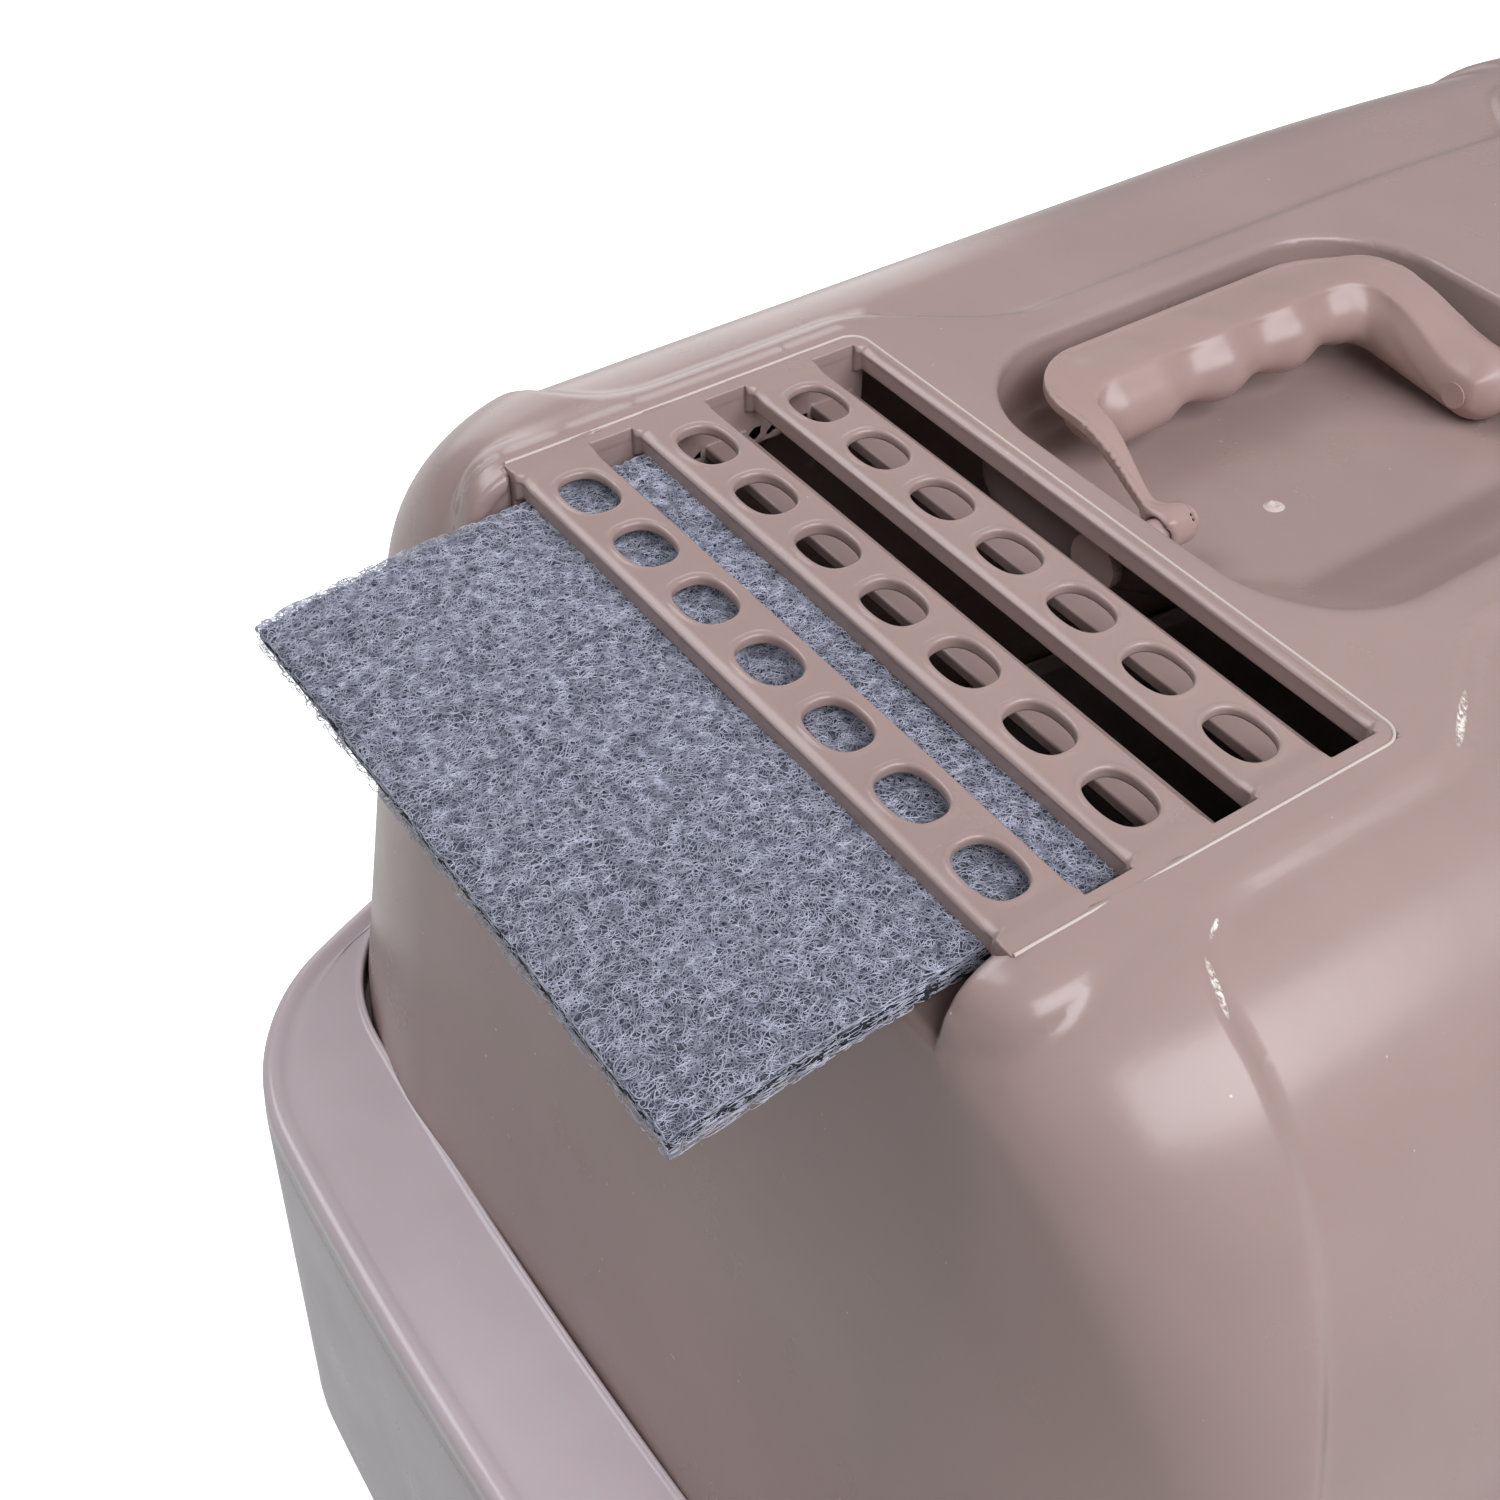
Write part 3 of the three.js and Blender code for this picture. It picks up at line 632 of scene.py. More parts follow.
def combine(tree, operation, a, b):
    node = tree.nodes.new("ShaderNodeMath")
    node.operation = operation
    tree.links.new(a, node.inputs[0])
    tree.links.new(b, node.inputs[1])
    return node.outputs[0]


def mix_color(tree, share, a, b):
    node = tree.nodes.new("ShaderNodeMix")
    node.data_type = "RGBA"
    for socket, value in ((6, a), (7, b)):
        if isinstance(value, tuple):
            node.inputs[socket].default_value = (*value, 1)
        else:
            tree.links.new(value, node.inputs[socket])
    tree.links.new(share, node.inputs[0])
    return node.outputs[2]


def linear(r, g, b):
    """Linear colour from an sRGB one of 0 to 255."""
    values = [c / 255 for c in (r, g, b)]
    return tuple(c / 12.92 if c <= 0.04045 else ((c + 0.055) / 1.055) ** 2.4 for c in values)


def bump(tree, shader, height, strength, distance):
    node = tree.nodes.new("ShaderNodeBump")
    set_values(node, {"Strength": strength, "Distance": distance})
    tree.links.new(height, node.inputs["Height"])
    tree.links.new(node.outputs["Normal"], shader.inputs["Normal"])


def scuff_share(tree, places):
    """1 in the white scuffs: thin streaks within reach of the given points, in metres."""
    coords = object_coords(tree)
    total = None
    for place, reach, stretch, turn in places:
        mapping = tree.nodes.new("ShaderNodeMapping")
        mapping.vector_type = "TEXTURE"
        mapping.inputs["Location"].default_value = place
        mapping.inputs["Rotation"].default_value[2] = turn
        mapping.inputs["Scale"].default_value = [reach * s for s in stretch]
        tree.links.new(coords, mapping.inputs["Vector"])
        length = tree.nodes.new("ShaderNodeVectorMath")
        length.operation = "LENGTH"
        tree.links.new(mapping.outputs["Vector"], length.inputs[0])
        near = spread(tree, length.outputs["Value"], 0.55, 1.0, 1.0, 0.0)
        total = near if total is None else combine(tree, "MAXIMUM", total, near)
    streak = spread(tree, noise(tree, 900, 3, 0.7), 0.42, 0.6, 0.0, 1.0)
    return combine(tree, "MULTIPLY", total, streak)


def finish_material(tree, shader, base, height, strength, distance, values):
    tree.links.new(base, shader.inputs["Base Color"])
    bump(tree, shader, height, strength, distance)
    set_values(shader, values)


def plastic(name, color, rough=0.3, scuffs=()):
    """Satin moulded polypropylene: faint mottling, orange peel, dust specks and, in places, white scuffs."""
    material, tree, shader = new_material(name)
    mottle = spread(tree, noise(tree, 14, 3, 0.6), 0.3, 0.7, 0.0, 1.0)
    base = mix_color(tree, mottle, tuple(c * 0.93 for c in color), tuple(c * 1.05 for c in color))
    specks = tree.nodes.new("ShaderNodeTexVoronoi")
    specks.inputs["Scale"].default_value = 190
    tree.links.new(object_coords(tree), specks.inputs["Vector"])
    dot = spread(tree, specks.outputs["Distance"], 0.035, 0.055, 1.0, 0.0)
    rare = spread(tree, noise(tree, 60, 1), 0.6, 0.63, 0.0, 0.55)
    base = mix_color(tree, combine(tree, "MULTIPLY", dot, rare), base, linear(225, 215, 208))
    roughness = spread(tree, noise(tree, 45, 4, 0.65), 0.25, 0.75, rough * 0.86, rough * 1.16)
    if scuffs:
        share = scuff_share(tree, scuffs)
        base = mix_color(tree, share, base, linear(246, 244, 232))
        roughness = combine(tree, "ADD", roughness, spread(tree, share, 0, 1, 0, 0.4))
    tree.links.new(roughness, shader.inputs["Roughness"])
    finish_material(tree, shader, base, noise(tree, 260, 3, 0.55), 0.12, 0.0003,
                    {"IOR": 1.5, "Subsurface Weight": 0.06, "Subsurface Scale": 0.004})
    return material


def felt_material():
    """The felt's body: matted blue-grey fibres with dark gaps."""
    material, tree, shader = new_material("felt_body")
    tangle = noise(tree, 900, 5, 0.75)
    share = spread(tree, tangle, 0.36, 0.64, 0.0, 1.0)
    base = mix_color(tree, share, linear(60, 62, 72), linear(122, 124, 138))
    tone = spread(tree, noise(tree, 55, 4, 0.7), 0.3, 0.7, 0.0, 0.4)
    base = mix_color(tree, tone, base, linear(110, 114, 129))
    finish_material(tree, shader, base, tangle, 0.8, 0.0012, {"Roughness": 0.95, "Specular IOR Level": 0.15})
    return material


def cut_edge_material():
    """The felt's cut sides: near black, with a few pale fibre ends."""
    material, tree, shader = new_material("felt_cut_edge")
    tangle = noise(tree, 1100, 5, 0.8)
    share = spread(tree, tangle, 0.5, 0.72, 0.0, 1.0)
    base = mix_color(tree, share, linear(34, 35, 41), linear(96, 99, 112))
    finish_material(tree, shader, base, tangle, 0.8, 0.001, {"Roughness": 0.95})
    return material


def fibre_material():
    """The fibres on the felt: pale blue-grey, each lot a little different."""
    material, tree, shader = new_material("felt_fibres")
    tone = noise(tree, 420, 2, 0.6)
    share = spread(tree, tone, 0.35, 0.65, 0.0, 1.0)
    base = mix_color(tree, share, linear(133, 135, 151), linear(196, 198, 213))
    finish_material(tree, shader, base, tone, 0.2, 0.0002, {"Roughness": 0.6, "Sheen Weight": 0.2})
    return material


def flap_material():
    """Smoky translucent plastic with a faint ripple."""
    material, tree, shader = new_material("flap_clear")
    ripple = noise(tree, 22, 3, 0.5)
    base = mix_color(tree, ripple, linear(214, 206, 200), linear(232, 226, 222))
    tree.links.new(spread(tree, ripple, 0.3, 0.7, 0.12, 0.26), shader.inputs["Roughness"])
    finish_material(tree, shader, base, ripple, 0.15, 0.0006, {"Transmission Weight": 0.75, "IOR": 1.45})
    return material


def steel_material():
    """Drawn steel wire, for the flap's and the latches' pins."""
    material, tree, shader = new_material("pin_steel")
    grain = noise(tree, 700, 3, 0.6)
    base = mix_color(tree, grain, linear(165, 165, 166), linear(205, 205, 206))
    tree.links.new(spread(tree, grain, 0.3, 0.7, 0.28, 0.42), shader.inputs["Roughness"])
    finish_material(tree, shader, base, grain, 0.1, 0.0002, {"Metallic": 1.0})
    return material


def surface_point(x, y):
    """Height of the hood's outside at a plan position, in mm."""
    low, high = 200.0, 400.0
    for _ in range(40):
        mid = (low + high) / 2
        value = hood_skin(np.array([x]), np.array([y]), np.array([mid]))[0]
        low, high = (mid, high) if value < 0 else (low, mid)
    return low


def scuff_places():
    """Where the hood is scuffed: the panel edge's bends on one side, and one corner on the other."""
    spots = [
        ((-78.4, GRILLE_Y - 61.5), 8.0, (1.0, 0.13, 0.8), math.radians(-54)),
        ((-96.8, GRILLE_Y + 13.5), 5.6, (1.0, 0.16, 0.8), math.radians(-20)),
        ((-88.6, GRILLE_Y + 6.5), 2.8, (1.0, 0.16, 0.8), math.radians(-60)),
        ((100.0, GRILLE_Y + 14.4), 3.2, (1.0, 0.2, 0.8), math.radians(10)),
    ]
    places = []
    for (x, y), reach, stretch, turn in spots:
        places.append(((x * MM, y * MM, surface_point(x, y) * MM), reach * MM, stretch, turn))
    return places


# ---- pieces

def give(obj, material, body, slot, *nodes):
    obj.data.materials.append(material)
    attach(obj, body)
    if nodes:
        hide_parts(*nodes)
    return obj


def make_hood(material):
    step = 1.7
    low, high = (-177.4, -213.4, HOOD_BOTTOM - 1.1), (177.4, 208.6, 374)
    hood = carve("hood_shell_moulding", hood_field, low, high, step)
    return give(hood, material, "hood", "hood", "hood_shell")


def make_grille(material):
    step = 0.5
    low, high = (-77.3, -50.3, -15.6), (77.3, 37.9, 1.2)
    grille = carve("grille_moulding", grille_field, low, high, step, deck=True)
    return give(grille, material, "hood", "hood")


def make_witness_line(material):
    """The fine raised line that frames the grille, in the pale plastic: its paleness is a painted highlight."""
    x, r = GRILLE_EDGE - 0.1, 4.4
    corner = np.radians(np.linspace(0, 90, 9))
    right = [(x, GRILLE_REAR - 0.3), (x, 0)]
    right += [(x - r + r * math.cos(a), GRILLE_FRONT + r - r * math.sin(a)) for a in corner]
    path = right + [(-a, b) for a, b in reversed(right)]
    section = [(-0.3, -0.3), (-0.26, 0.06), (0.0, 0.17), (0.26, 0.06), (0.3, -0.3)]
    points, faces = [], []
    for i, (px, pv) in enumerate(path):
        ahead, back = path[min(i + 1, len(path) - 1)], path[max(i - 1, 0)]
        along = np.array([ahead[0] - back[0], ahead[1] - back[1]])
        along = along / np.linalg.norm(along)
        for s, h in section:
            points.append((px + along[1] * s, pv - along[0] * s, h + 0.2))
    n = len(section)
    for i in range(len(path) - 1):
        for j in range(n - 1):
            faces.append((i * n + j, i * n + j + 1, (i + 1) * n + j + 1, (i + 1) * n + j))
    line = make_mesh("grille_witness_line", from_deck(points), faces)
    return give(line, material, "hood", "hood")


def make_gate_mark(material):
    """The pale gate mark in the pocket's floor, with a small ragged nub."""
    rings, sides = 7, 28
    centre_v, mark_radius = -102.5, 2.7
    points, faces = [], []
    for r in range(rings):
        radius = mark_radius * r / (rings - 1)
        for s in range(sides):
            a = 2 * math.pi * s / sides
            rise = 0.75 * math.exp(-(((radius - 1.2) / 0.45) ** 2)) * (0.5 + 0.8 * rng.random())
            rise -= 0.05 * (r == rings - 1)
            points.append([radius * math.cos(a), centre_v + radius * math.sin(a), rise])
    points = np.array(points)
    low, high = np.full(len(points), -30.0), np.full(len(points), -2.0)
    for _ in range(30):
        mid = (low + high) / 2
        at = from_deck(np.column_stack([points[:, 0], points[:, 1], mid]))
        solid = hood_skin(*at.T) < 0
        low, high = np.where(solid, mid, low), np.where(solid, high, mid)
    at = from_deck(np.column_stack([points[:, 0], points[:, 1], low + points[:, 2]]))
    for r in range(rings - 1):
        for s in range(sides):
            t = (s + 1) % sides
            faces.append((r * sides + s, (r + 1) * sides + s, (r + 1) * sides + t, r * sides + t))
    mark = make_mesh("pocket_gate_mark", at, faces)
    return give(mark, material, "hood", "hood")


def make_handle(material):
    step = 0.8
    low, high = (-9, -169, -21.5), (49, -66, 1.0)
    handle = carve("carry_handle_moulding", handle_field, low, high, step, deck=True)
    return give(handle, material, "handle", "trim", "carry_handle")


def felt_height(x, v):
    """The felt's gentle unevenness, and the droop of the end that is out of the mouth."""
    wave = 0.28 * np.sin(x * 0.11 + 0.7) * np.cos(v * 0.09) + 0.22 * np.sin(x * 0.043 - v * 0.061)
    droop = FELT_DROOP * (np.maximum(v - FELT_REST, 0) / (FILTER_REAR - FELT_REST)) ** 2
    return wave - droop


def make_felt(materials):
    """The felt slab and its fibres, as one piece. The materials are for body, fibres and cut edge."""
    half, rear, front = FILTER_HALF - 0.4, FILTER_REAR - 0.1, FILTER_REAR - FILTER_LENGTH + 0.6
    nx, nv = 190, 122
    xs, vs = np.linspace(-half, half, nx), np.linspace(front, rear, nv)
    gx, gv = np.meshgrid(xs, vs, indexing="ij")
    jag = rng.normal(0, 0.22, gx.shape)
    edge = np.minimum(np.minimum(half - np.abs(gx), rear - gv), gv - front)
    top = FILTER_TOP - 0.5 + felt_height(gx, gv) + rng.normal(0, 0.12, gx.shape) - 0.9 * np.exp(-edge / 0.6)
    sheets = [(gx + jag, gv + jag[0, 0] + rng.normal(0, 0.15, gx.shape), top)]
    bottom = FILTER_TOP - FILTER_THICK + 0.45 + 0.6 * felt_height(gx, gv) + 0.8 * np.exp(-edge / 0.6)
    sheets.append((gx + jag, gv, bottom))
    points, faces = [], []
    for number, (px, pv, ph) in enumerate(sheets):
        base = number * nx * nv
        points.append(np.column_stack([px.ravel(), pv.ravel(), ph.ravel()]))
        i, j = np.meshgrid(np.arange(nx - 1), np.arange(nv - 1), indexing="ij")
        a = (base + i * nv + j).ravel()
        quad = np.column_stack([a, a + nv, a + nv + 1, a + 1])
        faces.append(quad if number == 0 else quad[:, ::-1])
    border = [i * nv for i in range(nx)] + [(nx - 1) * nv + j for j in range(1, nv)]
    border += [i * nv + nv - 1 for i in range(nx - 2, -1, -1)] + [j for j in range(nv - 2, 0, -1)]
    border = np.array(border)
    after = np.roll(border, -1)
    lower = nx * nv
    faces.append(np.column_stack([border + lower, after + lower, after, border]))
    slab_points, slab_faces = np.vstack(points), np.vstack(faces)
    fibre_points, fibre_faces = fibres(half, rear, front)
    points = np.vstack([slab_points, fibre_points])
    faces = np.vstack([slab_faces, fibre_faces + len(slab_points)])
    felt = make_mesh("carbon_filter_felt", from_deck(points), faces)
    for material in materials:
        felt.data.materials.append(material)
    top_and_bottom = len(slab_faces) - len(border)
    which = np.zeros(len(faces), np.int32)
    which[top_and_bottom:len(slab_faces)] = 2
    which[len(slab_faces):] = 1
    felt.data.polygons.foreach_set("material_index", which)
    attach(felt, "filter")
    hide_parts("carbon_filter")
    return felt


def fibres(half, rear, front):
    """Curled fibres over the felt's top and along its cut edges, as thin three-sided tubes."""
    count = 21000
    segments = 9
    x = rng.uniform(-half, half, count)
    v = rng.uniform(front, rear, count)
    on_edge = rng.random(count) < 0.1
    which = rng.integers(0, 3, count)
    x = np.where(on_edge & (which == 0), -half, np.where(on_edge & (which == 1), half, x))
    v = np.where(on_edge & (which == 2), rear, v)
    heading = rng.uniform(0, 2 * math.pi, count)
    outwards = np.where(which == 0, math.pi, np.where(which == 1, 0.0, math.pi / 2))
    heading = np.where(on_edge, outwards + rng.normal(0, 1.1, count), heading)
    curl = rng.normal(0, 0.55, count)
    length = rng.uniform(0.45, 1.0, count)
    lift = rng.uniform(-0.25, 0.45, count)
    sag = np.where(on_edge, rng.uniform(0, 1, count), 0)
    radius = rng.uniform(0.05, 0.1, count)
    px, pv = x.copy(), v.copy()
    line = []
    for s in range(segments + 1):
        share = s / segments
        base = FILTER_TOP - 0.45 + felt_height(px, pv)
        arch = 0.55 * np.sin(math.pi * share)
        depth = sag * (FILTER_THICK - 0.8) * rng.uniform(0.97, 1.0, count)
        line.append(np.column_stack([px, pv, base + lift * 0.6 + arch * (1 - sag) - depth]))
        curl = np.clip(curl + rng.normal(0, 0.22, count), -1.1, 1.1)
        heading = heading + curl
        px = np.clip(px + length * np.cos(heading), -half - 0.4, half + 0.4)
        pv = np.clip(pv + length * np.sin(heading), front - 0.4, rear + 0.4)
    line = np.stack(line, 1)
    along = np.gradient(line, axis=1)
    along /= np.linalg.norm(along, axis=2, keepdims=True) + 1e-9
    across = np.cross(along, [0, 0, 1.0])
    across /= np.linalg.norm(across, axis=2, keepdims=True) + 1e-6
    upward = np.cross(across, along)
    thin = radius[:, None] * (1 - 0.5 * np.linspace(-1, 1, segments + 1)[None, :] ** 4)
    corners = []
    for c in range(3):
        a = 2 * math.pi * c / 3 + math.pi / 2
        corners.append(line + thin[..., None] * (math.cos(a) * across + math.sin(a) * upward))
    points = np.stack(corners, 2).reshape(-1, 3)
    f, s, c = np.meshgrid(np.arange(count), np.arange(segments), np.arange(3), indexing="ij")
    a = ((f * (segments + 1) + s) * 3 + c).ravel()
    b = ((f * (segments + 1) + s) * 3 + (c + 1) % 3).ravel()
    return points, np.column_stack([a, b, b + 3, a + 3])


def make_rim(material):
    """The clipped ring: outer bead, wide ledge, inner bead and the channel's lip."""
    outer = [(2.0, -10.8), (1.4, -11.3), (0.5, -11.1), (0.05, -10.4), (0.0, -4.0), (0.0, -2.8), (0.35, -1.5),
             (1.1, -0.55), (2.1, -0.1), (3.2, 0), (4.4, -0.1), (5.4, -0.45), (6.2, -0.65)]
    loops = rings(TRAY, outer, RIM_Z)
    last = plan_outline(TRAY, outer[-1][0])
    inner = plan_outline(HOOD, -2.6)
    for share, z in ((0.12, -0.7), (0.2, -0.55), (0.3, -0.62), (0.55, -0.7), (0.8, -0.72), (0.97, -0.72)):
        loops.append(level(last + (inner - last) * share, RIM_Z + z))
    bead = [(-2.3, -0.62), (-1.9, -0.2), (-1.5, 0.0), (-1.0, -0.12), (-0.7, -0.6), (-0.6, -1.4),
            (-0.6, -CHANNEL_DEPTH), (-2.5, -CHANNEL_DEPTH), (-2.6, -3.4)]
    loops += rings(HOOD, bead, RIM_Z) + rings(TRAY, [(2.05, -3.3)], RIM_Z)
    rim = loft("rim_frame_moulding", loops[::-1], around=True)
    make_channel(material)
    return give(rim, material, "tray", "rim", "rim_frame")


def make_channel(material):
    """The trough inside the ring that the hood's foot stands in."""
    floor_z = RIM_Z - CHANNEL_DEPTH
    section = [(-2.4, floor_z), (-2.4, floor_z + 2), (8.8, floor_z + 2), (8.8, RIM_Z - 6.2),
               (7.9, RIM_Z - 5.9), (7.1, RIM_Z - 6.2), (7.1, floor_z)]
    limit = plan_outline(TRAY, 4.6)
    loops = []
    for inset, z in section:
        ring = plan_outline(HOOD, inset)
        shrink = np.minimum(1, np.linalg.norm(limit, axis=1) / np.linalg.norm(ring, axis=1))
        loops.append(level(ring * shrink[:, None], z))
    trough = loft("rim_channel_moulding", loops, around=True)
    fit_edges(trough)
    return give(trough, material, "tray", "rim")


def make_pan(material):
    """The pan: a collar inside the rim, a flush shoulder, a drafted wall, a round heel and four feet."""
    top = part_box("base_pan")[1].z / MM
    draft = math.tan(math.radians(3.5))
    shoulder, foot, wall = RIM_Z - 13.2, 2.0, 2.4
    collar_inset, flush_inset = 2.3, 0.2
    bottom_inset = flush_inset + (shoulder - foot) * draft
    shape = [(collar_inset + 1, top - 0.05), (collar_inset + 0.3, top - 0.1), (collar_inset, top - 0.6),
             (collar_inset, shoulder + 2.4), (collar_inset - 0.1, shoulder + 1.8), (1.6, shoulder + 1.45),
             (0.7, shoulder + 1.3), (0.3, shoulder + 0.8), (flush_inset, shoulder)]
    for z in np.linspace(shoulder - 12, foot + 18, 7):
        shape.append((flush_inset + (shoulder - z) * draft, z))
    for a in np.radians(np.linspace(0, 90, 9)):
        shape.append((bottom_inset - 0.9 + 15 * (1 - math.cos(a)), foot + 14 - 14 * math.sin(a)))
    shape.append((bottom_inset + 34, foot))
    shape.append((bottom_inset + 38, foot + 1.2))
    shape.append((bottom_inset + 56, foot + 1.2))
    inner = []
    for inset, z in shape[:-3]:
        inner.append((max(inset, collar_inset * (z > shoulder - 6)) + wall, max(z, foot + 2.6)))
    pan = loft("base_pan_outside", rings(TRAY, shape)[::-1], capped=(True, False))
    fit_edges(pan, 50)
    inner[0] = (collar_inset + 1, top - 0.05)
    inside = loft("base_pan_inside", rings(TRAY, inner), capped=(False, True))
    fit_edges(inside, 50)
    give(inside, material, "tray", "pan")
    for x in (-FOOT_X, FOOT_X):
        for y in (-FOOT_Y, FOOT_Y):
            make_foot(material, x, y, foot)
    return give(pan, material, "tray", "pan", "base_pan")


def round_loop(x, y, radius, z, sides):
    angle = np.linspace(0, 2 * math.pi, sides, endpoint=False)
    return np.column_stack([x + radius * np.cos(angle), y + radius * np.sin(angle), np.full(sides, z)])


def make_foot(material, x, y, height):
    profile = [(13.0, 0.0), (13.8, 0.25), (14.3, 0.9), (14.9, height + 1.0)]
    loops = [round_loop(x, y, r, z, 40) for r, z in profile]
    name = f"foot_{'left' if x < 0 else 'right'}_{'rear' if y > 0 else 'front'}"
    foot = loft(name, loops, capped=(True, False))
    fit_edges(foot)
    return give(foot, material, "tray", "pan")


def upright(outline, y):
    return np.column_stack([outline[:, 0], np.full(len(outline), float(y)), outline[:, 1]])


def entry_loop(grow):
    radius = max(ENTRY_CORNER + grow, 3)
    low = ENTRY_LOW - min(grow, 5.4)
    return round_rect(-ENTRY_X - grow, ENTRY_X + grow, low, ENTRY_HIGH + grow, radius)


def make_entry_frame(material):
    """A flanged sleeve round the entry, with a rolled outer edge."""
    face = ENTRY_FACE - 0.3
    sleeve_end = ENTRY_FACE + 21.6
    shape = [(-3.3, sleeve_end), (-3.3, face + 1.2), (-3.0, face - 1.4), (-2.2, face - 2.35),
             (-1.0, face - 2.6), (1.2, face - 2.2), (4.2, face - 2.2), (5.6, face - 2.55),
             (6.5, face - 2.0), (6.95, face - 1.0), (6.95, face - 0.1), (-0.3, face), (-0.3, sleeve_end)]
    ring = loft("entry_frame_moulding", [upright(entry_loop(g), y) for g, y in shape], around=True)
    fit_edges(ring, 40)
    return give(ring, material, "hood", "trim", "entry_frame")


def make_flap(material):
    """The flap, with a stepped border and a barrel along its top."""
    low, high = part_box("flap_door")
    x0, x1, z0 = low.x / MM + 0.1, high.x / MM - 0.1, low.z / MM + 0.1
    axis = joint("flap_swing")["pos_m"]
    y, z_axis = axis[1] / MM, axis[2] / MM
    loops = []
    border = [(-26, 0.5), (-25, 1.2), (-12, 1.2), (-11, 0.5), (-9.5, 0.5), (-8.5, 1.2), (-1.2, 1.45),
              (-0.3, 1.1), (0, 0.4), (0, -0.4), (-0.3, -1.1), (-1.2, -1.45), (-8.5, -1.2), (-26, -1.2)]
    for grow, dy in border:
        outline = round_rect(x0 - grow, x1 + grow, z0 - grow, z_axis + 1 + grow, max(9 + grow, 2))
        loops.append(upright(outline, y - dy))
    flap = loft("flap_door_panel", loops[::-1], capped=(True, True))
    fit_edges(flap, 30)
    give(flap, material, "flap", "flap", "flap_door")
    barrel_loops = []
    for x, r in ((x0, 2.4), (x0, 3.9), (x0 + 0.6, 4.4), (x1 - 0.6, 4.4), (x1, 3.9), (x1, 2.4)):
        barrel_loops.append(round_loop(y, z_axis, r, x, 28)[:, [2, 0, 1]])
    barrel = loft("flap_door_barrel", barrel_loops)
    fit_edges(barrel)
    return give(barrel, material, "flap", "flap")


def make_latch(material, side, name):
    node = f"side_latch_{name}"
    low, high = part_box(node)
    field = latch_field(side)
    pad = 1.2
    lo = (low.x / MM - pad, low.y / MM - pad, low.z / MM - pad)
    hi = (high.x / MM + pad, high.y / MM + pad, high.z / MM + pad)
    latch = carve(f"{node}_moulding", field, lo, hi, 0.9)
    return give(latch, material, f"latch_{name}", "trim", node)


def paint_pins(steel, brown):
    """The small pins stay as the CAD has them, with their finish on."""
    for name, obj in frame["nodes"].items():
        if obj.hide_render:
            continue
        material = brown if name.startswith("handle_pin") else steel
        obj.data.materials.clear()
        obj.data.materials.append(material)


# ---- stage, metres

GRILLE_PLACE = Vector((0, GRILLE_Y * MM, GRILLE_Z * MM))


def area_light(name, place, target, length, height, power):
    """A soft light facing target, with its length level."""
    data = bpy.data.lights.new(name, "AREA")
    data.shape = "RECTANGLE"
    data.size, data.size_y = length, height
    data.energy = power
    lamp = add_object(name, data)
    back = (Vector(place) - Vector(target)).normalized()
    level_axis = Vector((0, 0, 1)).cross(back).normalized()
    turn = Matrix((level_axis, back.cross(level_axis), back)).transposed()
    lamp.matrix_world = Matrix.Translation(place) @ turn.to_4x4()
    return lamp


def light_along(name, direction, distance, length, height, power):
    """A soft light in a direction from the grille."""
    place = GRILLE_PLACE + Vector(direction).normalized() * distance
    return area_light(name, place, GRILLE_PLACE, length, height, power)


def make_floor():
    """A pale floor that curves up, far away, into a pale backdrop."""
    flat, bend, depth = 9000, 5000, -0.5
    profile = [(10, depth), (3000, depth), (flat, depth)]
    for a in np.radians(np.arange(10, 91, 10)):
        profile.append((flat + bend * math.sin(a), depth + bend - bend * math.cos(a)))
    profile.append((flat + bend, 14000))
    loops = [round_loop(0, 0, r, z, 72) for r, z in profile]
    floor = loft("studio_floor", loops, capped=(True, False))
    material, tree, shader = new_material("pale_floor")
    tone = mix_color(tree, noise(tree, 3, 2), (0.86, 0.86, 0.86), (0.9, 0.9, 0.9))
    tree.links.new(tone, shader.inputs["Base Color"])
    set_values(shader, {"Roughness": 0.9, "Emission Color": (1, 1, 1, 1), "Emission Strength": 0.9})
    floor.data.materials.append(material)
    floor.visible_diffuse = False
    floor.visible_glossy = False


def make_reflected_floor():
    """What the gloss sees below: a dimmer floor, as near the object, where its shadow lies; a painted shadow,
    glowing weakly, seen only in reflections.
    """
    half, depth = 3000, -1.0
    points = [(-half, -half, depth), (half, -half, depth), (half, half, depth), (-half, half, depth)]
    below = make_mesh("studio_reflected_floor", points, [(0, 1, 2, 3)])
    material, tree, shader = new_material("painted_floor_shadow")
    # grey glow: painted shadow of the floor, seen only in reflections
    tone = mix_color(tree, noise(tree, 3, 2), (0.4, 0.4, 0.4), (0.45, 0.45, 0.45))
    tree.links.new(tone, shader.inputs["Base Color"])
    set_values(shader, {"Emission Color": (1, 1, 1, 1), "Emission Strength": 0.5})
    below.data.materials.append(material)
    below.visible_camera = False
    below.visible_diffuse = False
    below.visible_shadow = False


def make_world(strength):
    world = bpy.data.worlds.new("studio")
    world.use_nodes = True
    back = world.node_tree.nodes["Background"]
    set_values(back, {"Color": (0.985, 0.99, 1.0, 1), "Strength": strength})
    bpy.context.scene.world = world


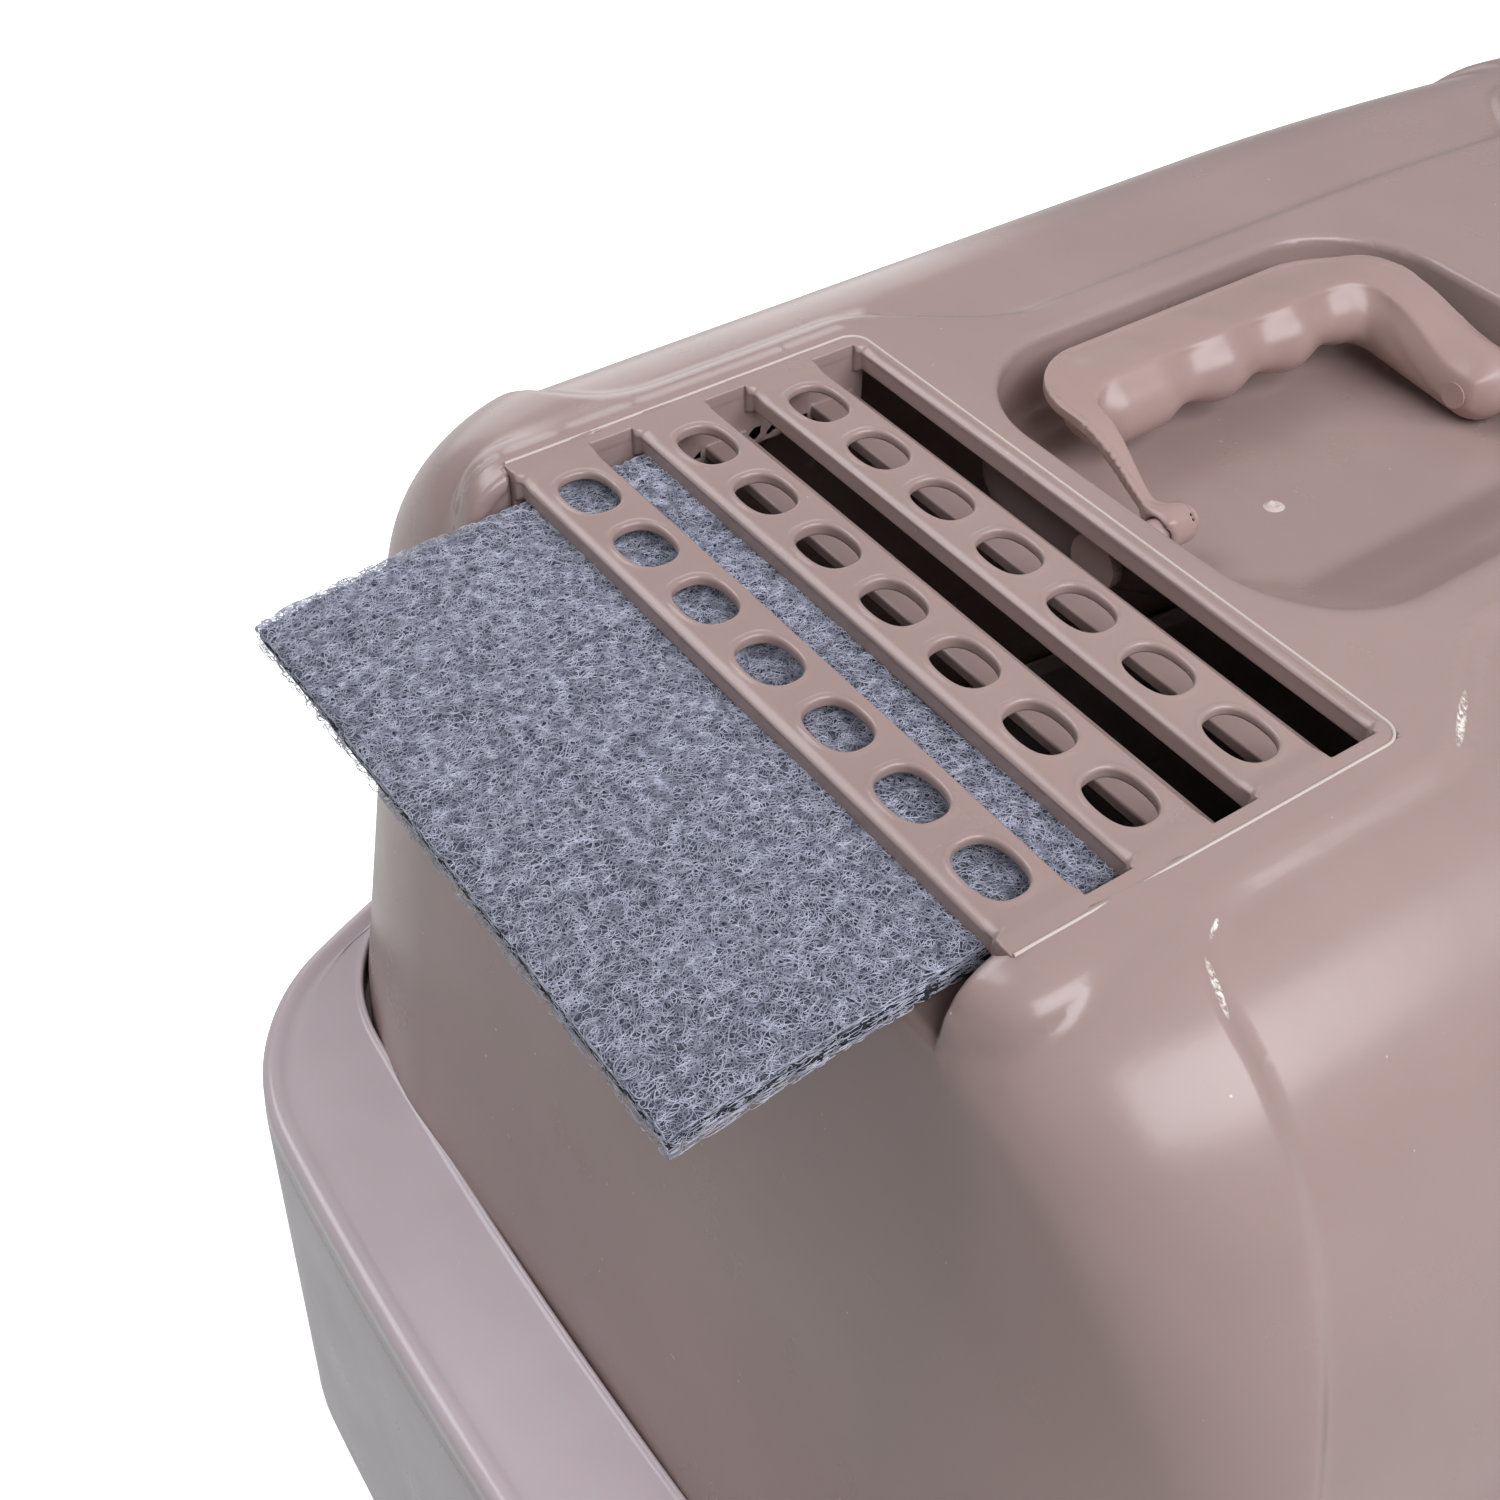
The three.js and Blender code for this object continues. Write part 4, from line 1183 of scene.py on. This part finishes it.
def make_camera():
    """The camera looks down over the rear corner at the grille and the filter."""
    data = bpy.data.cameras.new("camera")
    data.lens = 47.83
    data.sensor_width = 36
    data.clip_start, data.clip_end = 0.01, 20
    camera = add_object("camera", data)
    azimuth, elevation, roll = math.radians(140.603), math.radians(40.022), math.radians(6.711)
    level_part = math.cos(elevation)
    back = Vector((level_part * math.cos(azimuth), level_part * math.sin(azimuth), math.sin(elevation)))
    level_axis = Vector((0, 0, 1)).cross(back).normalized()
    right = level_axis * math.cos(roll) + back.cross(level_axis) * math.sin(roll)
    turn = Matrix((right, back.cross(right), back)).transposed()
    place = GRILLE_PLACE + Vector((-0.21303, 0.20420, 0.20851))
    camera.matrix_world = Matrix.Translation(place) @ turn.to_4x4()
    bpy.context.scene.camera = camera


def make_lights():
    """A long key over the right shoulder, a low window and a high fill on the left."""
    key = light_along("key_right", (-0.66, -0.03, 0.68), 1.25, 1.48, 0.74, 19.5)
    key.data.color = (0.96, 0.97, 1.03)
    light_along("left_window", (0.93, -0.30, 0.16), 1.3, 0.9, 0.8, 3.0)
    fill = light_along("left_top", (0.62, 0.36, 0.70), 1.4, 0.8, 0.8, 8.5)
    fill.data.color = (0.95, 0.98, 1.04)


# ---- build

bpy.context.scene.view_settings.view_transform = "Standard"
taupe = plastic("hood_plastic", linear(158, 136, 130), 0.25, scuff_places())
pinkish = plastic("rim_plastic", linear(192, 178, 181), 0.2)
greyer = plastic("pan_plastic", linear(188, 180, 184), 0.3)
browner = plastic("handle_plastic", linear(164, 139, 132), 0.31)
# pale plastic: the gate mark's own colour, and a painted highlight on the witness line
pale = plastic("gate_mark_and_highlight_plastic", linear(200, 184, 176), 0.4)

make_hood(taupe)
make_grille(taupe)
# the witness line's pale colour is a painted highlight along its bead
make_witness_line(pale)
make_gate_mark(pale)
make_handle(browner)
make_felt([felt_material(), fibre_material(), cut_edge_material()])
make_rim(pinkish)
make_pan(greyer)
make_entry_frame(browner)
make_flap(flap_material())
make_latch(browner, -1, "left")
make_latch(browner, 1, "right")
paint_pins(steel_material(), browner)

make_floor()
make_reflected_floor()
make_world(0.295)
make_lights()
make_camera()
